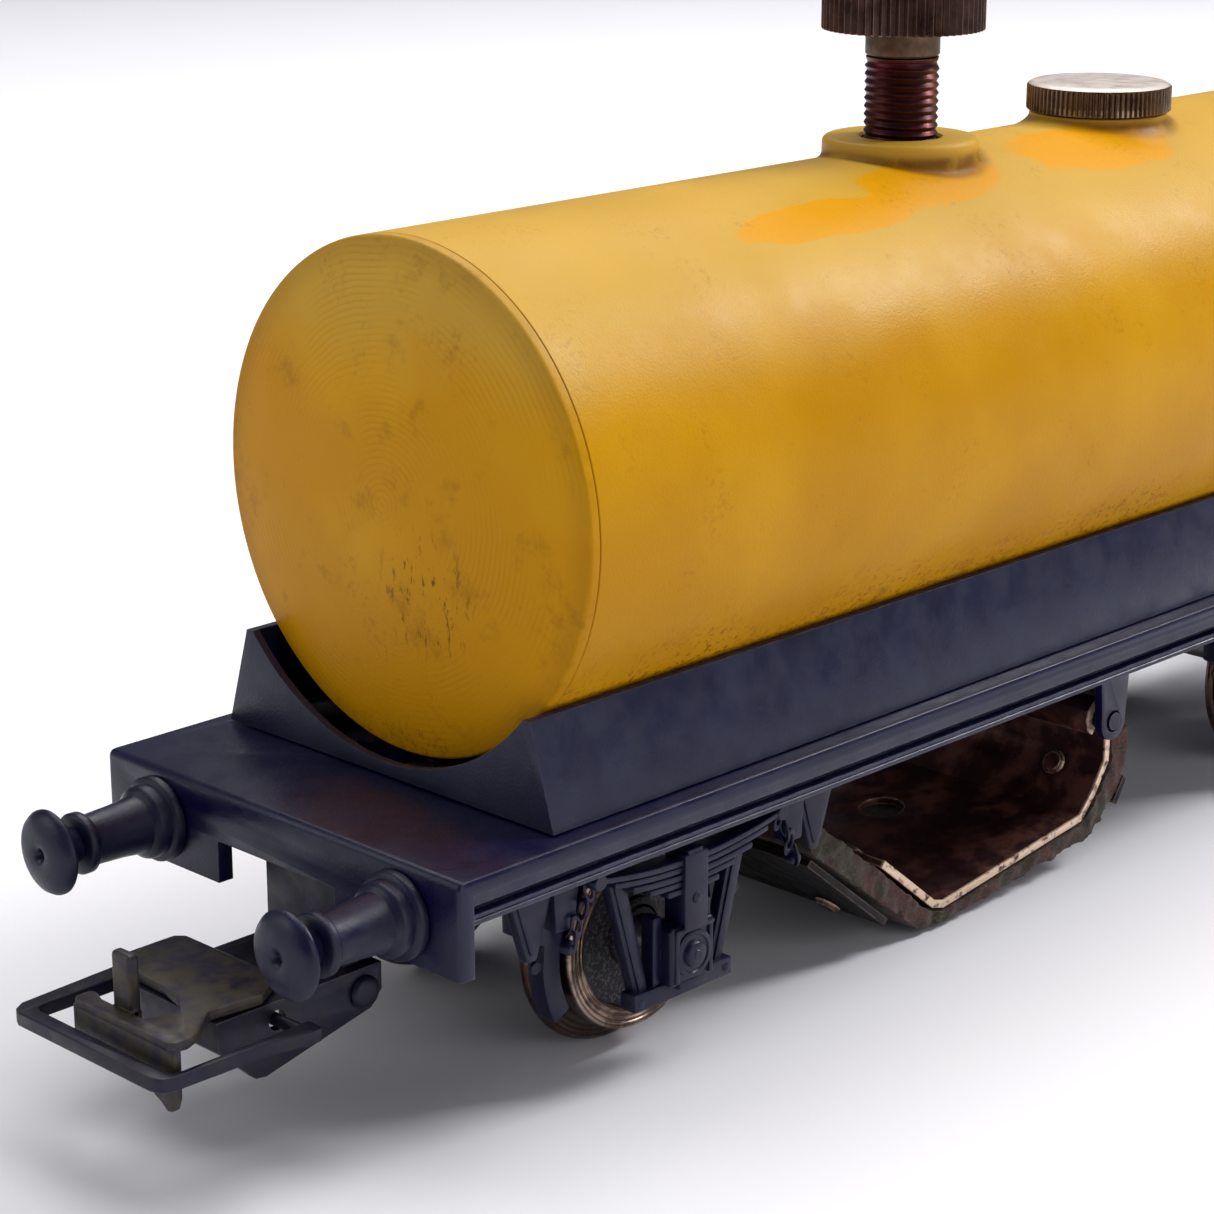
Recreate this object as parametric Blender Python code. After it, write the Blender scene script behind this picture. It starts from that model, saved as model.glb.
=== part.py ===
"""Two-axle model tank wagon, 1:87 scale for 16.5 mm gauge track, with a drip-fed rail cleaning pad.

Frame: origin at the middle of the wagon on the surface that its wheel flanges stand on, +X along the
wagon, +Y across it, +Z up. Every size below is in millimetres; meshes are scaled to metres at the end.
"""
import math

import bmesh
import bpy
from mathutils import Matrix, Vector

MM = 0.001

# ---- wheelsets -------------------------------------------------------------------------------
WHEELBASE = 67.6
TREAD_DIAMETER = 11.5
FLANGE_DEPTH = 1.3
FLANGE_WIDTH = 0.8
WHEEL_WIDTH = 2.8
BACK_TO_BACK = 14.4
RIM_FACE_WIDTH = 1.25
WEB_RECESS = 0.55
HUB_DIAMETER = 4.2
AXLE_DIAMETER = 2.0
AXLE_POINT_LENGTH = 1.9
BUSH_WALL = 0.35

# ---- underframe ------------------------------------------------------------------------------
FLOOR_LENGTH = 104.0
FLOOR_WIDTH = 29.5
FLOOR_THICKNESS = 0.9
FLOOR_EDGE_RADIUS = 0.45
WHEEL_HEADROOM = 1.6
HEADSTOCK_THICKNESS = 1.0
HEADSTOCK_DEPTH = 5.5
NOTCH_DEPTH = 2.5
NOTCH_WIDTH = 9.8
SOLEBAR_DEPTH = 2.65
SOLEBAR_THICKNESS = 1.5
SOLEBAR_BAND = 1.5
SOLEBAR_RECESS_DEPTH = 0.75
SOLEBAR_FLANGE = 0.6

# ---- tank and its cradle ---------------------------------------------------------------------
TANK_LENGTH = 84.4
TANK_DIAMETER = 29.2
TANK_WALL = 0.8
TANK_GROUND_GAP = 0.95
TANK_END_RIM = 0.7
TANK_END_DOME = 1.5
TANK_END_SPIGOT = 1.6
CRADLE_HEIGHT = 6.0
CRADLE_OVERHANG = 1.8
CRADLE_LEDGE = 1.3
CRADLE_THICKNESS = 0.5
TANK_SCREW_SPACING = 44.0
TANK_SCREW_DIAMETER = 1.8
TANK_SCREW_HEAD_DIAMETER = 3.8
TANK_SCREW_HEAD_HEIGHT = 1.0
TANK_SCREW_REACH = 1.9
TANK_SCREW_BOSS_WALL = 1.3

# ---- valve and filler ------------------------------------------------------------------------
BOSS_DIAMETER = 9.8
BOSS_HEIGHT = 0.9
BOSS_INNER_DEPTH = 1.6
VALVE_THREAD_DIAMETER = 4.7
VALVE_THREAD_LENGTH = 4.9
VALVE_THREAD_ENGAGED = 2.3
VALVE_COLLAR_LENGTH = 1.6
VALVE_COLLAR_WALL = 0.85
VALVE_KNOB_DIAMETER = 10.2
VALVE_KNOB_HEIGHT = 5.0
VALVE_NEEDLE_DIAMETER = 1.6
NOZZLE_DIAMETER = 3.4
NOZZLE_BORE = 1.0
NOZZLE_INNER_HEIGHT = 0.9
NOZZLE_LENGTH_BELOW_FLOOR = 3.2
FILLER_OFFSET = -21.0
NECK_DIAMETER = 9.2
NECK_BORE = 7.4
NECK_HEIGHT = 0.35
NECK_INNER_DEPTH = 1.6
CAP_DIAMETER = 9.7
CAP_HEIGHT = 2.0
CAP_PLUG_LENGTH = 2.2
GASKET_THICKNESS = 0.35

# ---- buffers ---------------------------------------------------------------------------------
BUFFER_SPACING = 20.1
BUFFER_DROP = 2.95
BUFFER_PROJECTION = 8.3
BUFFER_HEAD_DIAMETER = 4.85
BUFFER_FLANGE_DIAMETER = 4.3
BUFFER_STUB_DIAMETER = 2.0

# ---- axleguards ------------------------------------------------------------------------------
GUARD_INNER_FACE = 12.3
GUARD_THICKNESS = 0.8
GUARD_FOOT_WIDTH = 1.9
GUARD_LEG_TOP = 6.0
GUARD_LEG_BOTTOM = 3.4
GUARD_LEG_WIDTH = 1.1
KEEP_DROP = 2.7
KEEP_HEIGHT = 1.1
AXLEBOX_WIDTH = 3.5
AXLEBOX_HEIGHT = 3.7
AXLEBOX_DEPTH = 1.3
AXLEBOX_LID_DIAMETER = 2.6
SPRING_LENGTH = 15.2
SPRING_LEAVES = 5
SPRING_LEAF = 0.42
SPRING_RISE = 0.85
SPRING_WIDTH = 1.0
SPRING_DROP = 4.6
BUCKLE_WIDTH = 1.9
SHACKLE_REACH = 1.7
SHACKLE_DROP = 3.4
BRACKET_NEAR = 9.8
BRACKET_FAR = 13.2
BRACKET_DROP = 4.2
BRAKE_SHOE_THICKNESS = 1.3
BRAKE_SHOE_WIDTH = 1.3
CUP_DIAMETER = 2.1
CUP_FLANGE_DIAMETER = 3.2
CUP_FLANGE_THICKNESS = 0.25
CUP_LENGTH = 1.5

# ---- couplers --------------------------------------------------------------------------------
COUPLER_PIVOT_FROM_END = 10.6
COUPLER_DROP = 9.4
COUPLER_ARM_WIDTH = 8.0
COUPLER_ARM_HEIGHT = 4.1
COUPLER_ARM_REACH = 7.5
COUPLER_ARM_WALL = 0.6
COUPLER_STEM_WIDTH = 6.4
COUPLER_STEM_GAP = 1.0
COUPLER_REACH = 13.0
COUPLER_HEAD_WIDTH = 11.4
COUPLER_SHEET = 0.6
FINGER_HEIGHT = 3.1
FINGER_WIDTH = 1.6
APRON_DEPTH = 2.4
SIDE_HOOK_DEPTH = 4.0
LOOP_BAR = 1.0
LOOP_ARM_FLARE = 0.5
LOOP_THICKNESS = 0.8
LOOP_DROP = 0.4
LOOP_PIN_DIAMETER = 0.8
COUPLER_SCREW_DIAMETER = 1.8
COUPLER_SCREW_HEAD_DIAMETER = 3.4

# ---- cleaning pad ----------------------------------------------------------------------------
PAD_SHEET = 0.5
PAD_HOLDER_WIDTH = 23.2
PAD_GROUND_GAP = 0.15
FELT_THICKNESS = 1.0
FELT_END_THICKNESS = 2.1
FELT_OVERHANG = 0.3
TROUGH_FRONT_X = 8.4
TROUGH_LENGTH = 14.8
TROUGH_TILT = 7.2
FRONT_SLOPE = 39.0
FRONT_SLOPE_LENGTH = 7.0
FELT_FRONT_LENGTH = 14.2
REAR_SLOPE = 47.0
REAR_SLOPE_LENGTH = 1.9
REAR_KNEE_RISE = 1.8
REAR_KNEE_RUN = 1.2
HINGE_ROD_DIAMETER = 1.2
HINGE_ROD_HEIGHT = 10.0
WINDOW_WIDTH = 4.2
WINDOW_OFFSET = 6.7
WINDOW_HEIGHT = 1.7
DRIP_HOLE_DIAMETER = 3.0
FRONT_CLIP_START = 4.2
FRONT_CLIP_LENGTH = 9.5
REAR_CLIP_LENGTH = 1.9
PAD_RIVET_DIAMETER = 0.8
PAD_RIVET_HEAD_DIAMETER = 1.7
PAD_RIVET_HEAD_HEIGHT = 0.3
PAD_RIVET_SPACING = 16.0
BRACKET_EAR_THICKNESS = 0.6
BRACKET_EAR_WIDTH = 3.4

# ---- fits ------------------------------------------------------------------------------------
SEAT_GAP = 0.1
RUNNING_GAP = 0.2
HOLE_GAP = 0.15
LOOSE_GAP = 0.3

# ---- worked out from the sizes above -----------------------------------------------------------
TREAD_RADIUS = TREAD_DIAMETER / 2
FLANGE_RADIUS = TREAD_RADIUS + FLANGE_DEPTH
AXLE_HEIGHT = FLANGE_RADIUS
AXLE_X = WHEELBASE / 2
AXLE_HALF_LENGTH = GUARD_INNER_FACE + 0.65
FLOOR_UNDERSIDE = 2 * FLANGE_RADIUS + WHEEL_HEADROOM
FLOOR_TOP = FLOOR_UNDERSIDE + FLOOR_THICKNESS
FLOOR_END = FLOOR_LENGTH / 2
FLOOR_SIDE = FLOOR_WIDTH / 2
SOLEBAR_BOTTOM = FLOOR_TOP - SOLEBAR_DEPTH
TANK_RADIUS = TANK_DIAMETER / 2
TANK_AXIS = FLOOR_TOP + TANK_GROUND_GAP + TANK_RADIUS
TANK_TOP = TANK_AXIS + TANK_RADIUS
TANK_BOTTOM = TANK_AXIS - TANK_RADIUS
BARREL_END = TANK_LENGTH / 2 - TANK_END_RIM
BOSS_TOP = TANK_TOP + BOSS_HEIGHT
NECK_TOP = TANK_TOP + NECK_HEIGHT
COLLAR_BOTTOM = BOSS_TOP + VALVE_THREAD_LENGTH
KNOB_BOTTOM = COLLAR_BOTTOM + VALVE_COLLAR_LENGTH + SEAT_GAP
BUFFER_HEIGHT = FLOOR_TOP - BUFFER_DROP
COUPLER_PIVOT_X = FLOOR_END - COUPLER_PIVOT_FROM_END
COUPLER_HEIGHT = FLOOR_TOP - COUPLER_DROP
LOOP_HINGE_X = FLOOR_END + 3.4
LOOP_FRONT_X = FLOOR_END + COUPLER_REACH
LOOP_HINGE = (LOOP_HINGE_X, 0.0, COUPLER_HEIGHT - LOOP_DROP)
ARM_TOP = COUPLER_HEIGHT + 0.7
ARM_RIVET = (FLOOR_END - 2.7, 0.0, COUPLER_HEIGHT - 0.7)
PAD_HALF = PAD_HOLDER_WIDTH / 2
FELT_START = PAD_SHEET + SEAT_GAP
FELT_END = FELT_START + FELT_THICKNESS
FELT_JAW = FELT_START + FELT_END_THICKNESS
HINGE_EYE_RADIUS = HINGE_ROD_DIAMETER / 2 + RUNNING_GAP


# ---- materials ---------------------------------------------------------------------------------
def material(name, colour, roughness, metallic):
    """Return a Principled material of one colour."""
    made = bpy.data.materials.new(name)
    made.use_nodes = True
    shader = made.node_tree.nodes["Principled BSDF"]
    shader.inputs["Base Color"].default_value = (*colour, 1.0)
    shader.inputs["Roughness"].default_value = roughness
    shader.inputs["Metallic"].default_value = metallic
    made.diffuse_color = (*colour, 1.0)
    return made


FINISHES = {
    "yellow_paint": ((0.72, 0.42, 0.03), 0.35, 0.0),
    "frame_black": ((0.02, 0.022, 0.035), 0.35, 0.2),
    "moulded_black": ((0.015, 0.016, 0.022), 0.5, 0.0),
    "dark_brass": ((0.12, 0.075, 0.045), 0.4, 0.8),
    "bare_brass": ((0.62, 0.5, 0.3), 0.35, 0.9),
    "nickel": ((0.5, 0.47, 0.43), 0.3, 0.9),
    "steel": ((0.35, 0.34, 0.33), 0.4, 0.9),
    "burnished_steel": ((0.06, 0.055, 0.04), 0.45, 0.7),
    "insulator": ((0.03, 0.03, 0.03), 0.6, 0.0),
    "felt": ((0.16, 0.13, 0.09), 0.95, 0.0),
    "fibre": ((0.25, 0.08, 0.04), 0.8, 0.0),
}


# ---- solids --------------------------------------------------------------------------------------
def prism(plane, outline, low, high):
    """Return a solid with the given outline in plane XY, XZ or YZ, drawn out from low to high."""
    spots = {
        "XY": lambda a, b, c: (a, b, c),
        "XZ": lambda a, b, c: (a, c, b),
        "YZ": lambda a, b, c: (c, a, b),
    }[plane]
    solid = bmesh.new()
    bottom = [solid.verts.new(spots(a, b, low)) for a, b in outline]
    top = [solid.verts.new(spots(a, b, high)) for a, b in outline]
    solid.faces.new(bottom)
    solid.faces.new(list(reversed(top)))
    count = len(outline)
    for i in range(count):
        j = (i + 1) % count
        solid.faces.new((bottom[i], bottom[j], top[j], top[i]))
    bmesh.ops.recalc_face_normals(solid, faces=solid.faces)
    return solid


def block(x_span, y_span, z_span):
    """Return a box between the ends of three spans."""
    x0, x1 = sorted(x_span)
    y0, y1 = sorted(y_span)
    return prism("XY", [(x0, y0), (x1, y0), (x1, y1), (x0, y1)], min(z_span), max(z_span))


def turned(axis, profile, segments, centre=(0.0, 0.0, 0.0), first_corner=0.5):
    """Return the solid that a closed profile of (radius, distance along axis) sweeps round an axis.

    The first corner lies that many steps round from the axis that angles are counted from.
    """
    solid = bmesh.new()
    place = {
        "X": lambda r, h, c, s: (h, r * c, r * s),
        "Y": lambda r, h, c, s: (r * c, h, r * s),
        "Z": lambda r, h, c, s: (r * c, r * s, h),
    }[axis]
    angles = [2 * math.pi * (i + first_corner) / segments for i in range(segments)]
    rings = []
    for radius, height in profile:
        if radius == 0:
            rings.append([solid.verts.new(Vector(place(0, height, 0, 0)) + Vector(centre))])
        else:
            rings.append([
                solid.verts.new(Vector(place(radius, height, math.cos(a), math.sin(a))) + Vector(centre))
                for a in angles
            ])
    for first, second in zip(rings, rings[1:] + rings[:1]):
        for i in range(segments):
            j = (i + 1) % segments
            if len(first) == 1 and len(second) == 1:
                break
            if len(first) == 1:
                solid.faces.new((first[0], second[i], second[j]))
            elif len(second) == 1:
                solid.faces.new((first[i], second[0], first[j]))
            else:
                solid.faces.new((first[i], second[i], second[j], first[j]))
    bmesh.ops.recalc_face_normals(solid, faces=solid.faces)
    return solid


def rod(axis, radius, low, high, segments, centre=(0.0, 0.0, 0.0)):
    """Return a plain cylinder along an axis."""
    return turned(axis, [(0, low), (radius, low), (radius, high), (0, high)], segments, centre)


def scratch_object(solid):
    """Return a linked object that holds a solid while a Boolean reads it."""
    mesh = bpy.data.meshes.new("scratch")
    solid.to_mesh(mesh)
    solid.free()
    held = bpy.data.objects.new("scratch", mesh)
    bpy.context.scene.collection.objects.link(held)
    return held


def combine(body, tools, operation):
    """Return body after an exact Boolean with each of the tools in turn."""
    held = scratch_object(body)
    helpers = [scratch_object(tool) for tool in tools]
    for helper in helpers:
        step = held.modifiers.new("step", "BOOLEAN")
        step.operation = operation
        step.solver = "EXACT"
        step.object = helper
    depsgraph = bpy.context.evaluated_depsgraph_get()
    mesh = bpy.data.meshes.new_from_object(held.evaluated_get(depsgraph))
    result = bmesh.new()
    result.from_mesh(mesh)
    for item in [held] + helpers:
        used = item.data
        bpy.data.objects.remove(item)
        bpy.data.meshes.remove(used)
    bpy.data.meshes.remove(mesh)
    bmesh.ops.remove_doubles(result, verts=result.verts, dist=0.0005)
    bmesh.ops.dissolve_degenerate(result, edges=result.edges, dist=0.0002)
    return result


def fuse(body, *tools):
    """Return the union of solids."""
    return combine(body, tools, "UNION")


def cut(body, *tools):
    """Return body without the tools."""
    return combine(body, tools, "DIFFERENCE")


def finished_mesh(name, solid, origin, sharp_angle=35.0):
    """Return a mesh in metres about its origin, shaded smooth except at sharp edges."""
    bmesh.ops.translate(solid, verts=solid.verts, vec=-Vector(origin))
    bmesh.ops.scale(solid, verts=solid.verts, vec=(MM, MM, MM))
    bmesh.ops.triangulate(solid, faces=solid.faces)
    mesh = bpy.data.meshes.new(name)
    solid.to_mesh(mesh)
    solid.free()
    mesh.shade_smooth()
    mesh.set_sharp_from_angle(angle=math.radians(sharp_angle))
    return mesh


def stand(name, mesh, finish, origin, parent=None, half_turn=False):
    """Put a mesh in the scene as a named piece, turned half round the wagon's middle if asked."""
    if finish not in bpy.data.materials:
        material(finish, *FINISHES[finish])
    if not mesh.materials:
        mesh.materials.append(bpy.data.materials[finish])
    piece = bpy.data.objects.new(name, mesh)
    bpy.context.scene.collection.objects.link(piece)
    spot = Vector(origin) * MM
    if half_turn:
        piece.rotation_euler = (0.0, 0.0, math.pi)
        spot = Vector((-spot.x, -spot.y, spot.z))
    if parent is not None:
        piece.parent = parent
        spot = spot - parent.location
    piece.location = spot
    return piece


def piece_of(name, solid, finish, origin=(0.0, 0.0, 0.0), parent=None):
    """Finish one solid and put it in the scene."""
    return stand(name, finished_mesh(name, solid, origin), finish, origin, parent)


def joint_axis(name, spot):
    """Return an empty on a joint's axis, which the pieces that move there hang from."""
    axis = bpy.data.objects.new(name, None)
    axis.empty_display_size = 4 * MM
    axis.location = Vector(spot) * MM
    bpy.context.scene.collection.objects.link(axis)
    return axis


def arc(centre, radius, start, end, steps):
    """Return points on an arc, with angles in degrees, both ends included."""
    angles = [math.radians(start + (end - start) * i / steps) for i in range(steps + 1)]
    return [(centre[0] + radius * math.cos(a), centre[1] + radius * math.sin(a)) for a in angles]


def offset_path(path, distances):
    """Return an open path moved sideways, to the left of its direction, by one distance at each point."""
    moved = []
    for i, (point, distance) in enumerate(zip(path, distances)):
        before = Vector(path[max(i - 1, 0)])
        here = Vector(point)
        after = Vector(path[min(i + 1, len(path) - 1)])
        first = (here - before).normalized() if i > 0 else (after - here).normalized()
        second = (after - here).normalized() if i < len(path) - 1 else first
        left = (Vector((-first.y, first.x)) + Vector((-second.y, second.x))).normalized()
        stretch = distance / max(left.dot(Vector((-first.y, first.x))), 0.3)
        moved.append(tuple(here + left * stretch))
    return moved


def strip(path, near, far):
    """Return the outline of a band that follows an open path between two sideways distances."""
    return offset_path(path, [near] * len(path)) + list(reversed(offset_path(path, [far] * len(path))))


# ---- underframe ------------------------------------------------------------------------------
def floor_shell():
    """Return the folded floor plate with its two headstocks and rounded outer edges."""
    radius = FLOOR_EDGE_RADIUS
    top = FLOOR_TOP
    low = top - HEADSTOCK_DEPTH
    inner = FLOOR_END - HEADSTOCK_THICKNESS
    outline = [(-FLOOR_END, low)]
    outline += arc((-FLOOR_END + radius, top - radius), radius, 180, 90, 3)
    outline += arc((FLOOR_END - radius, top - radius), radius, 90, 0, 3)
    outline += [(FLOOR_END, low), (inner, low), (inner, FLOOR_UNDERSIDE), (-inner, FLOOR_UNDERSIDE), (-inner, low)]
    shell = prism("XZ", outline, -FLOOR_SIDE, FLOOR_SIDE)
    rim = []
    for edge in shell.edges:
        first, second = (vert.co for vert in edge.verts)
        on_side = abs(abs(first.y) - FLOOR_SIDE) < 0.001 and abs(first.y - second.y) < 0.001
        middle = (first + second) / 2
        outside = abs(middle.x) > FLOOR_END - radius or middle.z > top - radius
        if on_side and outside and abs(middle.z - low) > 0.001:
            rim.append(edge)
    bmesh.ops.bevel(shell, geom=rim, offset=0.3, segments=2, profile=0.5, affect="EDGES")
    return shell


def solebar(side):
    """Return one channel-shaped solebar: a band, a recess and a lower flange."""
    outer = FLOOR_SIDE - 0.05
    inner = FLOOR_SIDE - SOLEBAR_THICKNESS
    recess = FLOOR_SIDE - SOLEBAR_RECESS_DEPTH
    band = FLOOR_TOP - SOLEBAR_BAND
    flange = SOLEBAR_BOTTOM + SOLEBAR_FLANGE
    groove = SOLEBAR_BOTTOM + SOLEBAR_FLANGE / 2
    outline = [
        (inner, SOLEBAR_BOTTOM), (outer - 0.1, SOLEBAR_BOTTOM), (outer - 0.1, groove - 0.08),
        (outer - 0.22, groove), (outer - 0.1, groove + 0.08), (outer - 0.1, flange), (recess, flange),
        (recess, band), (outer, band), (outer, FLOOR_TOP - 0.6), (inner, FLOOR_TOP - 0.6),
    ]
    length = FLOOR_END - HEADSTOCK_THICKNESS / 2
    return prism("YZ", [(side * y, z) for y, z in outline], -length, length)


def build_underframe():
    """The floor, its headstocks and solebars in one folded and riveted piece."""
    shell = fuse(floor_shell(), solebar(1), solebar(-1))
    reach = FLOOR_END + 1
    notch_top = FLOOR_TOP - HEADSTOCK_DEPTH + NOTCH_DEPTH
    holes = [block((-reach, reach), (-NOTCH_WIDTH / 2, NOTCH_WIDTH / 2), (0, notch_top))]
    low, high = FLOOR_UNDERSIDE - 1, FLOOR_TOP + 1
    holes.append(rod("Z", NOZZLE_DIAMETER / 2 + LOOSE_GAP, low, high, 20))
    for end in (1, -1):
        screw_x = end * TANK_SCREW_SPACING / 2
        holes.append(rod("Z", TANK_SCREW_DIAMETER / 2 + HOLE_GAP, low, high, 16, (screw_x, 0, 0)))
        pivot = (end * COUPLER_PIVOT_X, 0, 0)
        holes.append(rod("Z", COUPLER_SCREW_DIAMETER / 2 + HOLE_GAP, low, high, 16, pivot))
        for side in (1, -1):
            stub = (0, side * BUFFER_SPACING / 2, BUFFER_HEIGHT)
            inner = end * (FLOOR_END - HEADSTOCK_THICKNESS - 1)
            span = sorted((inner, end * reach))
            holes.append(rod("X", BUFFER_STUB_DIAMETER / 2 + HOLE_GAP, span[0], span[1], 16, stub))
            foot = (end * AXLE_X, side * (GUARD_INNER_FACE - GUARD_FOOT_WIDTH / 2), 0)
            holes.append(rod("Z", 0.5 + HOLE_GAP, low, high, 12, foot))
    piece_of("underframe", cut(shell, *holes), "frame_black")


# ---- tank ------------------------------------------------------------------------------------
def build_tank():
    """The soldered barrel with its valve boss and filler neck, and the two domed ends."""
    inner = TANK_RADIUS - TANK_WALL
    ring = [(inner, -BARREL_END), (TANK_RADIUS, -BARREL_END), (TANK_RADIUS, BARREL_END), (inner, BARREL_END)]
    barrel = turned("X", ring, 64, (0, 0, TANK_AXIS))
    boss_radius = BOSS_DIAMETER / 2
    boss_profile = [
        (0, TANK_TOP - BOSS_INNER_DEPTH), (boss_radius - 0.4, TANK_TOP - BOSS_INNER_DEPTH),
        (boss_radius + 0.5, TANK_TOP - 0.6), (boss_radius, TANK_TOP + 0.1), (boss_radius, BOSS_TOP - 0.35),
        (boss_radius - 0.35, BOSS_TOP), (0, BOSS_TOP),
    ]
    neck_radius = NECK_DIAMETER / 2
    neck_profile = [
        (0, TANK_TOP - NECK_INNER_DEPTH), (neck_radius, TANK_TOP - NECK_INNER_DEPTH),
        (neck_radius + 0.5, TANK_TOP - 0.6), (neck_radius, TANK_TOP + 0.1), (neck_radius, NECK_TOP),
        (0, NECK_TOP),
    ]
    solids = [turned("Z", boss_profile, 32), turned("Z", neck_profile, 32, (FILLER_OFFSET, 0, 0))]
    screw_boss = TANK_SCREW_DIAMETER / 2 + TANK_SCREW_BOSS_WALL
    boss_roof = TANK_BOTTOM + TANK_WALL + TANK_SCREW_REACH + 0.6
    for end in (1, -1):
        spot = (end * TANK_SCREW_SPACING / 2, 0, 0)
        solids.append(rod("Z", screw_boss, TANK_BOTTOM + TANK_WALL / 2, boss_roof, 16, spot))
    barrel = fuse(barrel, *solids)
    bores = [
        rod("Z", VALVE_THREAD_DIAMETER / 2 + RUNNING_GAP, TANK_AXIS, BOSS_TOP + 1, 24),
        rod("Z", NECK_BORE / 2, TANK_AXIS, NECK_TOP + 1, 28, (FILLER_OFFSET, 0, 0)),
        rod("Z", NOZZLE_DIAMETER / 2 + HOLE_GAP, TANK_BOTTOM - 1, TANK_AXIS, 20),
    ]
    for end in (1, -1):
        spot = (end * TANK_SCREW_SPACING / 2, 0, 0)
        depth = TANK_BOTTOM + TANK_WALL + TANK_SCREW_REACH + 0.2
        bores.append(rod("Z", TANK_SCREW_DIAMETER / 2 + HOLE_GAP, TANK_BOTTOM - 1, depth, 16, spot))
    piece_of("tank_barrel", cut(barrel, *bores), "yellow_paint")

    face = TANK_LENGTH / 2
    seat = BARREL_END + SEAT_GAP
    spigot = inner - HOLE_GAP
    steps = 3
    dome = [(TANK_RADIUS * math.cos(a), face + TANK_END_DOME * math.sin(a))
            for a in (math.pi / 2 * i / steps for i in range(steps, 0, -1))]
    dome[0] = (0, face + TANK_END_DOME)
    back = seat - TANK_END_SPIGOT
    profile = dome + [(TANK_RADIUS, face), (TANK_RADIUS, seat), (spigot, seat), (spigot, back), (0, back)]
    origin = (0, 0, TANK_AXIS)
    mesh = finished_mesh("tank_end", turned("X", profile, 64, origin), origin, 25.0)
    stand("tank_end_front", mesh, "yellow_paint", origin)
    stand("tank_end_rear", mesh, "yellow_paint", origin, half_turn=True)


def build_cradle():
    """The folded saddle that the tank lies in: two leaning side plates and an end web at each end."""
    bottom = FLOOR_TOP + SEAT_GAP
    top = FLOOR_TOP + CRADLE_HEIGHT
    clear = TANK_RADIUS + SEAT_GAP
    foot = FLOOR_SIDE - CRADLE_LEDGE
    head = math.sqrt(clear ** 2 - (TANK_AXIS - top) ** 2) + CRADLE_THICKNESS
    length = TANK_LENGTH / 2 + CRADLE_OVERHANG
    lean = (foot - head) / (top - bottom)
    shell = prism("YZ", [(-foot, bottom), (foot, bottom), (head, top), (-head, top)], -length, length)
    low, high = bottom - 1, top + 1
    low_side = foot + lean - CRADLE_THICKNESS
    high_side = head - lean - CRADLE_THICKNESS
    inside = [(-low_side, low), (low_side, low), (high_side, high), (-high_side, high)]
    hollow = prism("YZ", inside, -length + CRADLE_THICKNESS, length - CRADLE_THICKNESS)
    tank_space = rod("X", clear, -length - 1, length + 1, 64, (0, 0, TANK_AXIS))
    piece_of("tank_cradle", cut(shell, hollow, tank_space), "frame_black")


def build_tank_screws():
    """The two screws that come up through the floor into the tank's bosses."""
    radius = TANK_SCREW_DIAMETER / 2
    head = TANK_SCREW_HEAD_DIAMETER / 2
    seat = FLOOR_UNDERSIDE - SEAT_GAP
    low = seat - TANK_SCREW_HEAD_HEIGHT
    tip = TANK_BOTTOM + TANK_WALL + TANK_SCREW_REACH
    profile = [(0, low), (head - 0.3, low), (head, low + 0.3), (head, seat), (radius, seat), (radius, tip), (0, tip)]
    slot = block((-head, head), (-0.25, 0.25), (low - 1, low + 0.45))
    mesh = finished_mesh("tank_screw", cut(turned("Z", profile, 20), slot), (0, 0, 0))
    for name, end in (("tank_screw_front", 1), ("tank_screw_rear", -1)):
        stand(name, mesh, "steel", (end * TANK_SCREW_SPACING / 2, 0, 0))


# ---- valve and filler --------------------------------------------------------------------------
def build_valve():
    """The needle valve: a knurled knob on a threaded spindle, a loose stop collar and the nozzle below."""
    axis = joint_axis("valve_axis", (0, 0, BOSS_TOP))
    thread = VALVE_THREAD_DIAMETER / 2
    core = thread - VALVE_COLLAR_WALL - RUNNING_GAP
    needle = VALVE_NEEDLE_DIAMETER / 2
    seat = TANK_BOTTOM + TANK_WALL + NOZZLE_INNER_HEIGHT
    knob_top = KNOB_BOTTOM + VALVE_KNOB_HEIGHT
    socket = knob_top - 1.2
    spindle = [
        (0, seat + 0.15), (0.25, seat + 0.15), (needle, seat + 1.1), (needle, BOSS_TOP - 3.4),
        (thread, BOSS_TOP - VALVE_THREAD_ENGAGED), (thread, COLLAR_BOTTOM), (core, COLLAR_BOTTOM),
        (core, socket), (0, socket),
    ]
    piece_of("valve_spindle", turned("Z", spindle, 20), "dark_brass", (0, 0, BOSS_TOP), axis)
    knob = VALVE_KNOB_DIAMETER / 2
    bore = core + HOLE_GAP
    profile = [
        (bore, KNOB_BOTTOM), (knob - 0.3, KNOB_BOTTOM), (knob, KNOB_BOTTOM + 0.3), (knob, knob_top - 0.4),
        (knob - 0.4, knob_top), (0, knob_top), (0, socket + HOLE_GAP), (bore, socket + HOLE_GAP),
    ]
    piece_of("valve_knob", turned("Z", profile, 32), "dark_brass", (0, 0, BOSS_TOP), axis)
    low = COLLAR_BOTTOM + SEAT_GAP
    collar = [(core + RUNNING_GAP, low), (thread, low), (thread, low + VALVE_COLLAR_LENGTH - SEAT_GAP),
              (core + RUNNING_GAP, low + VALVE_COLLAR_LENGTH - SEAT_GAP)]
    piece_of("valve_collar", turned("Z", collar, 20), "dark_brass", (0, 0, BOSS_TOP), axis)
    outer = NOZZLE_DIAMETER / 2
    bore = NOZZLE_BORE / 2
    outlet = FLOOR_UNDERSIDE - NOZZLE_LENGTH_BELOW_FLOOR
    nozzle = [
        (bore, outlet), (outer - 0.6, outlet), (outer, outlet + 1.0), (outer, seat), (needle + 0.3, seat),
        (bore, seat - 0.8),
    ]
    piece_of("drip_nozzle", turned("Z", nozzle, 20), "bare_brass")


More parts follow.
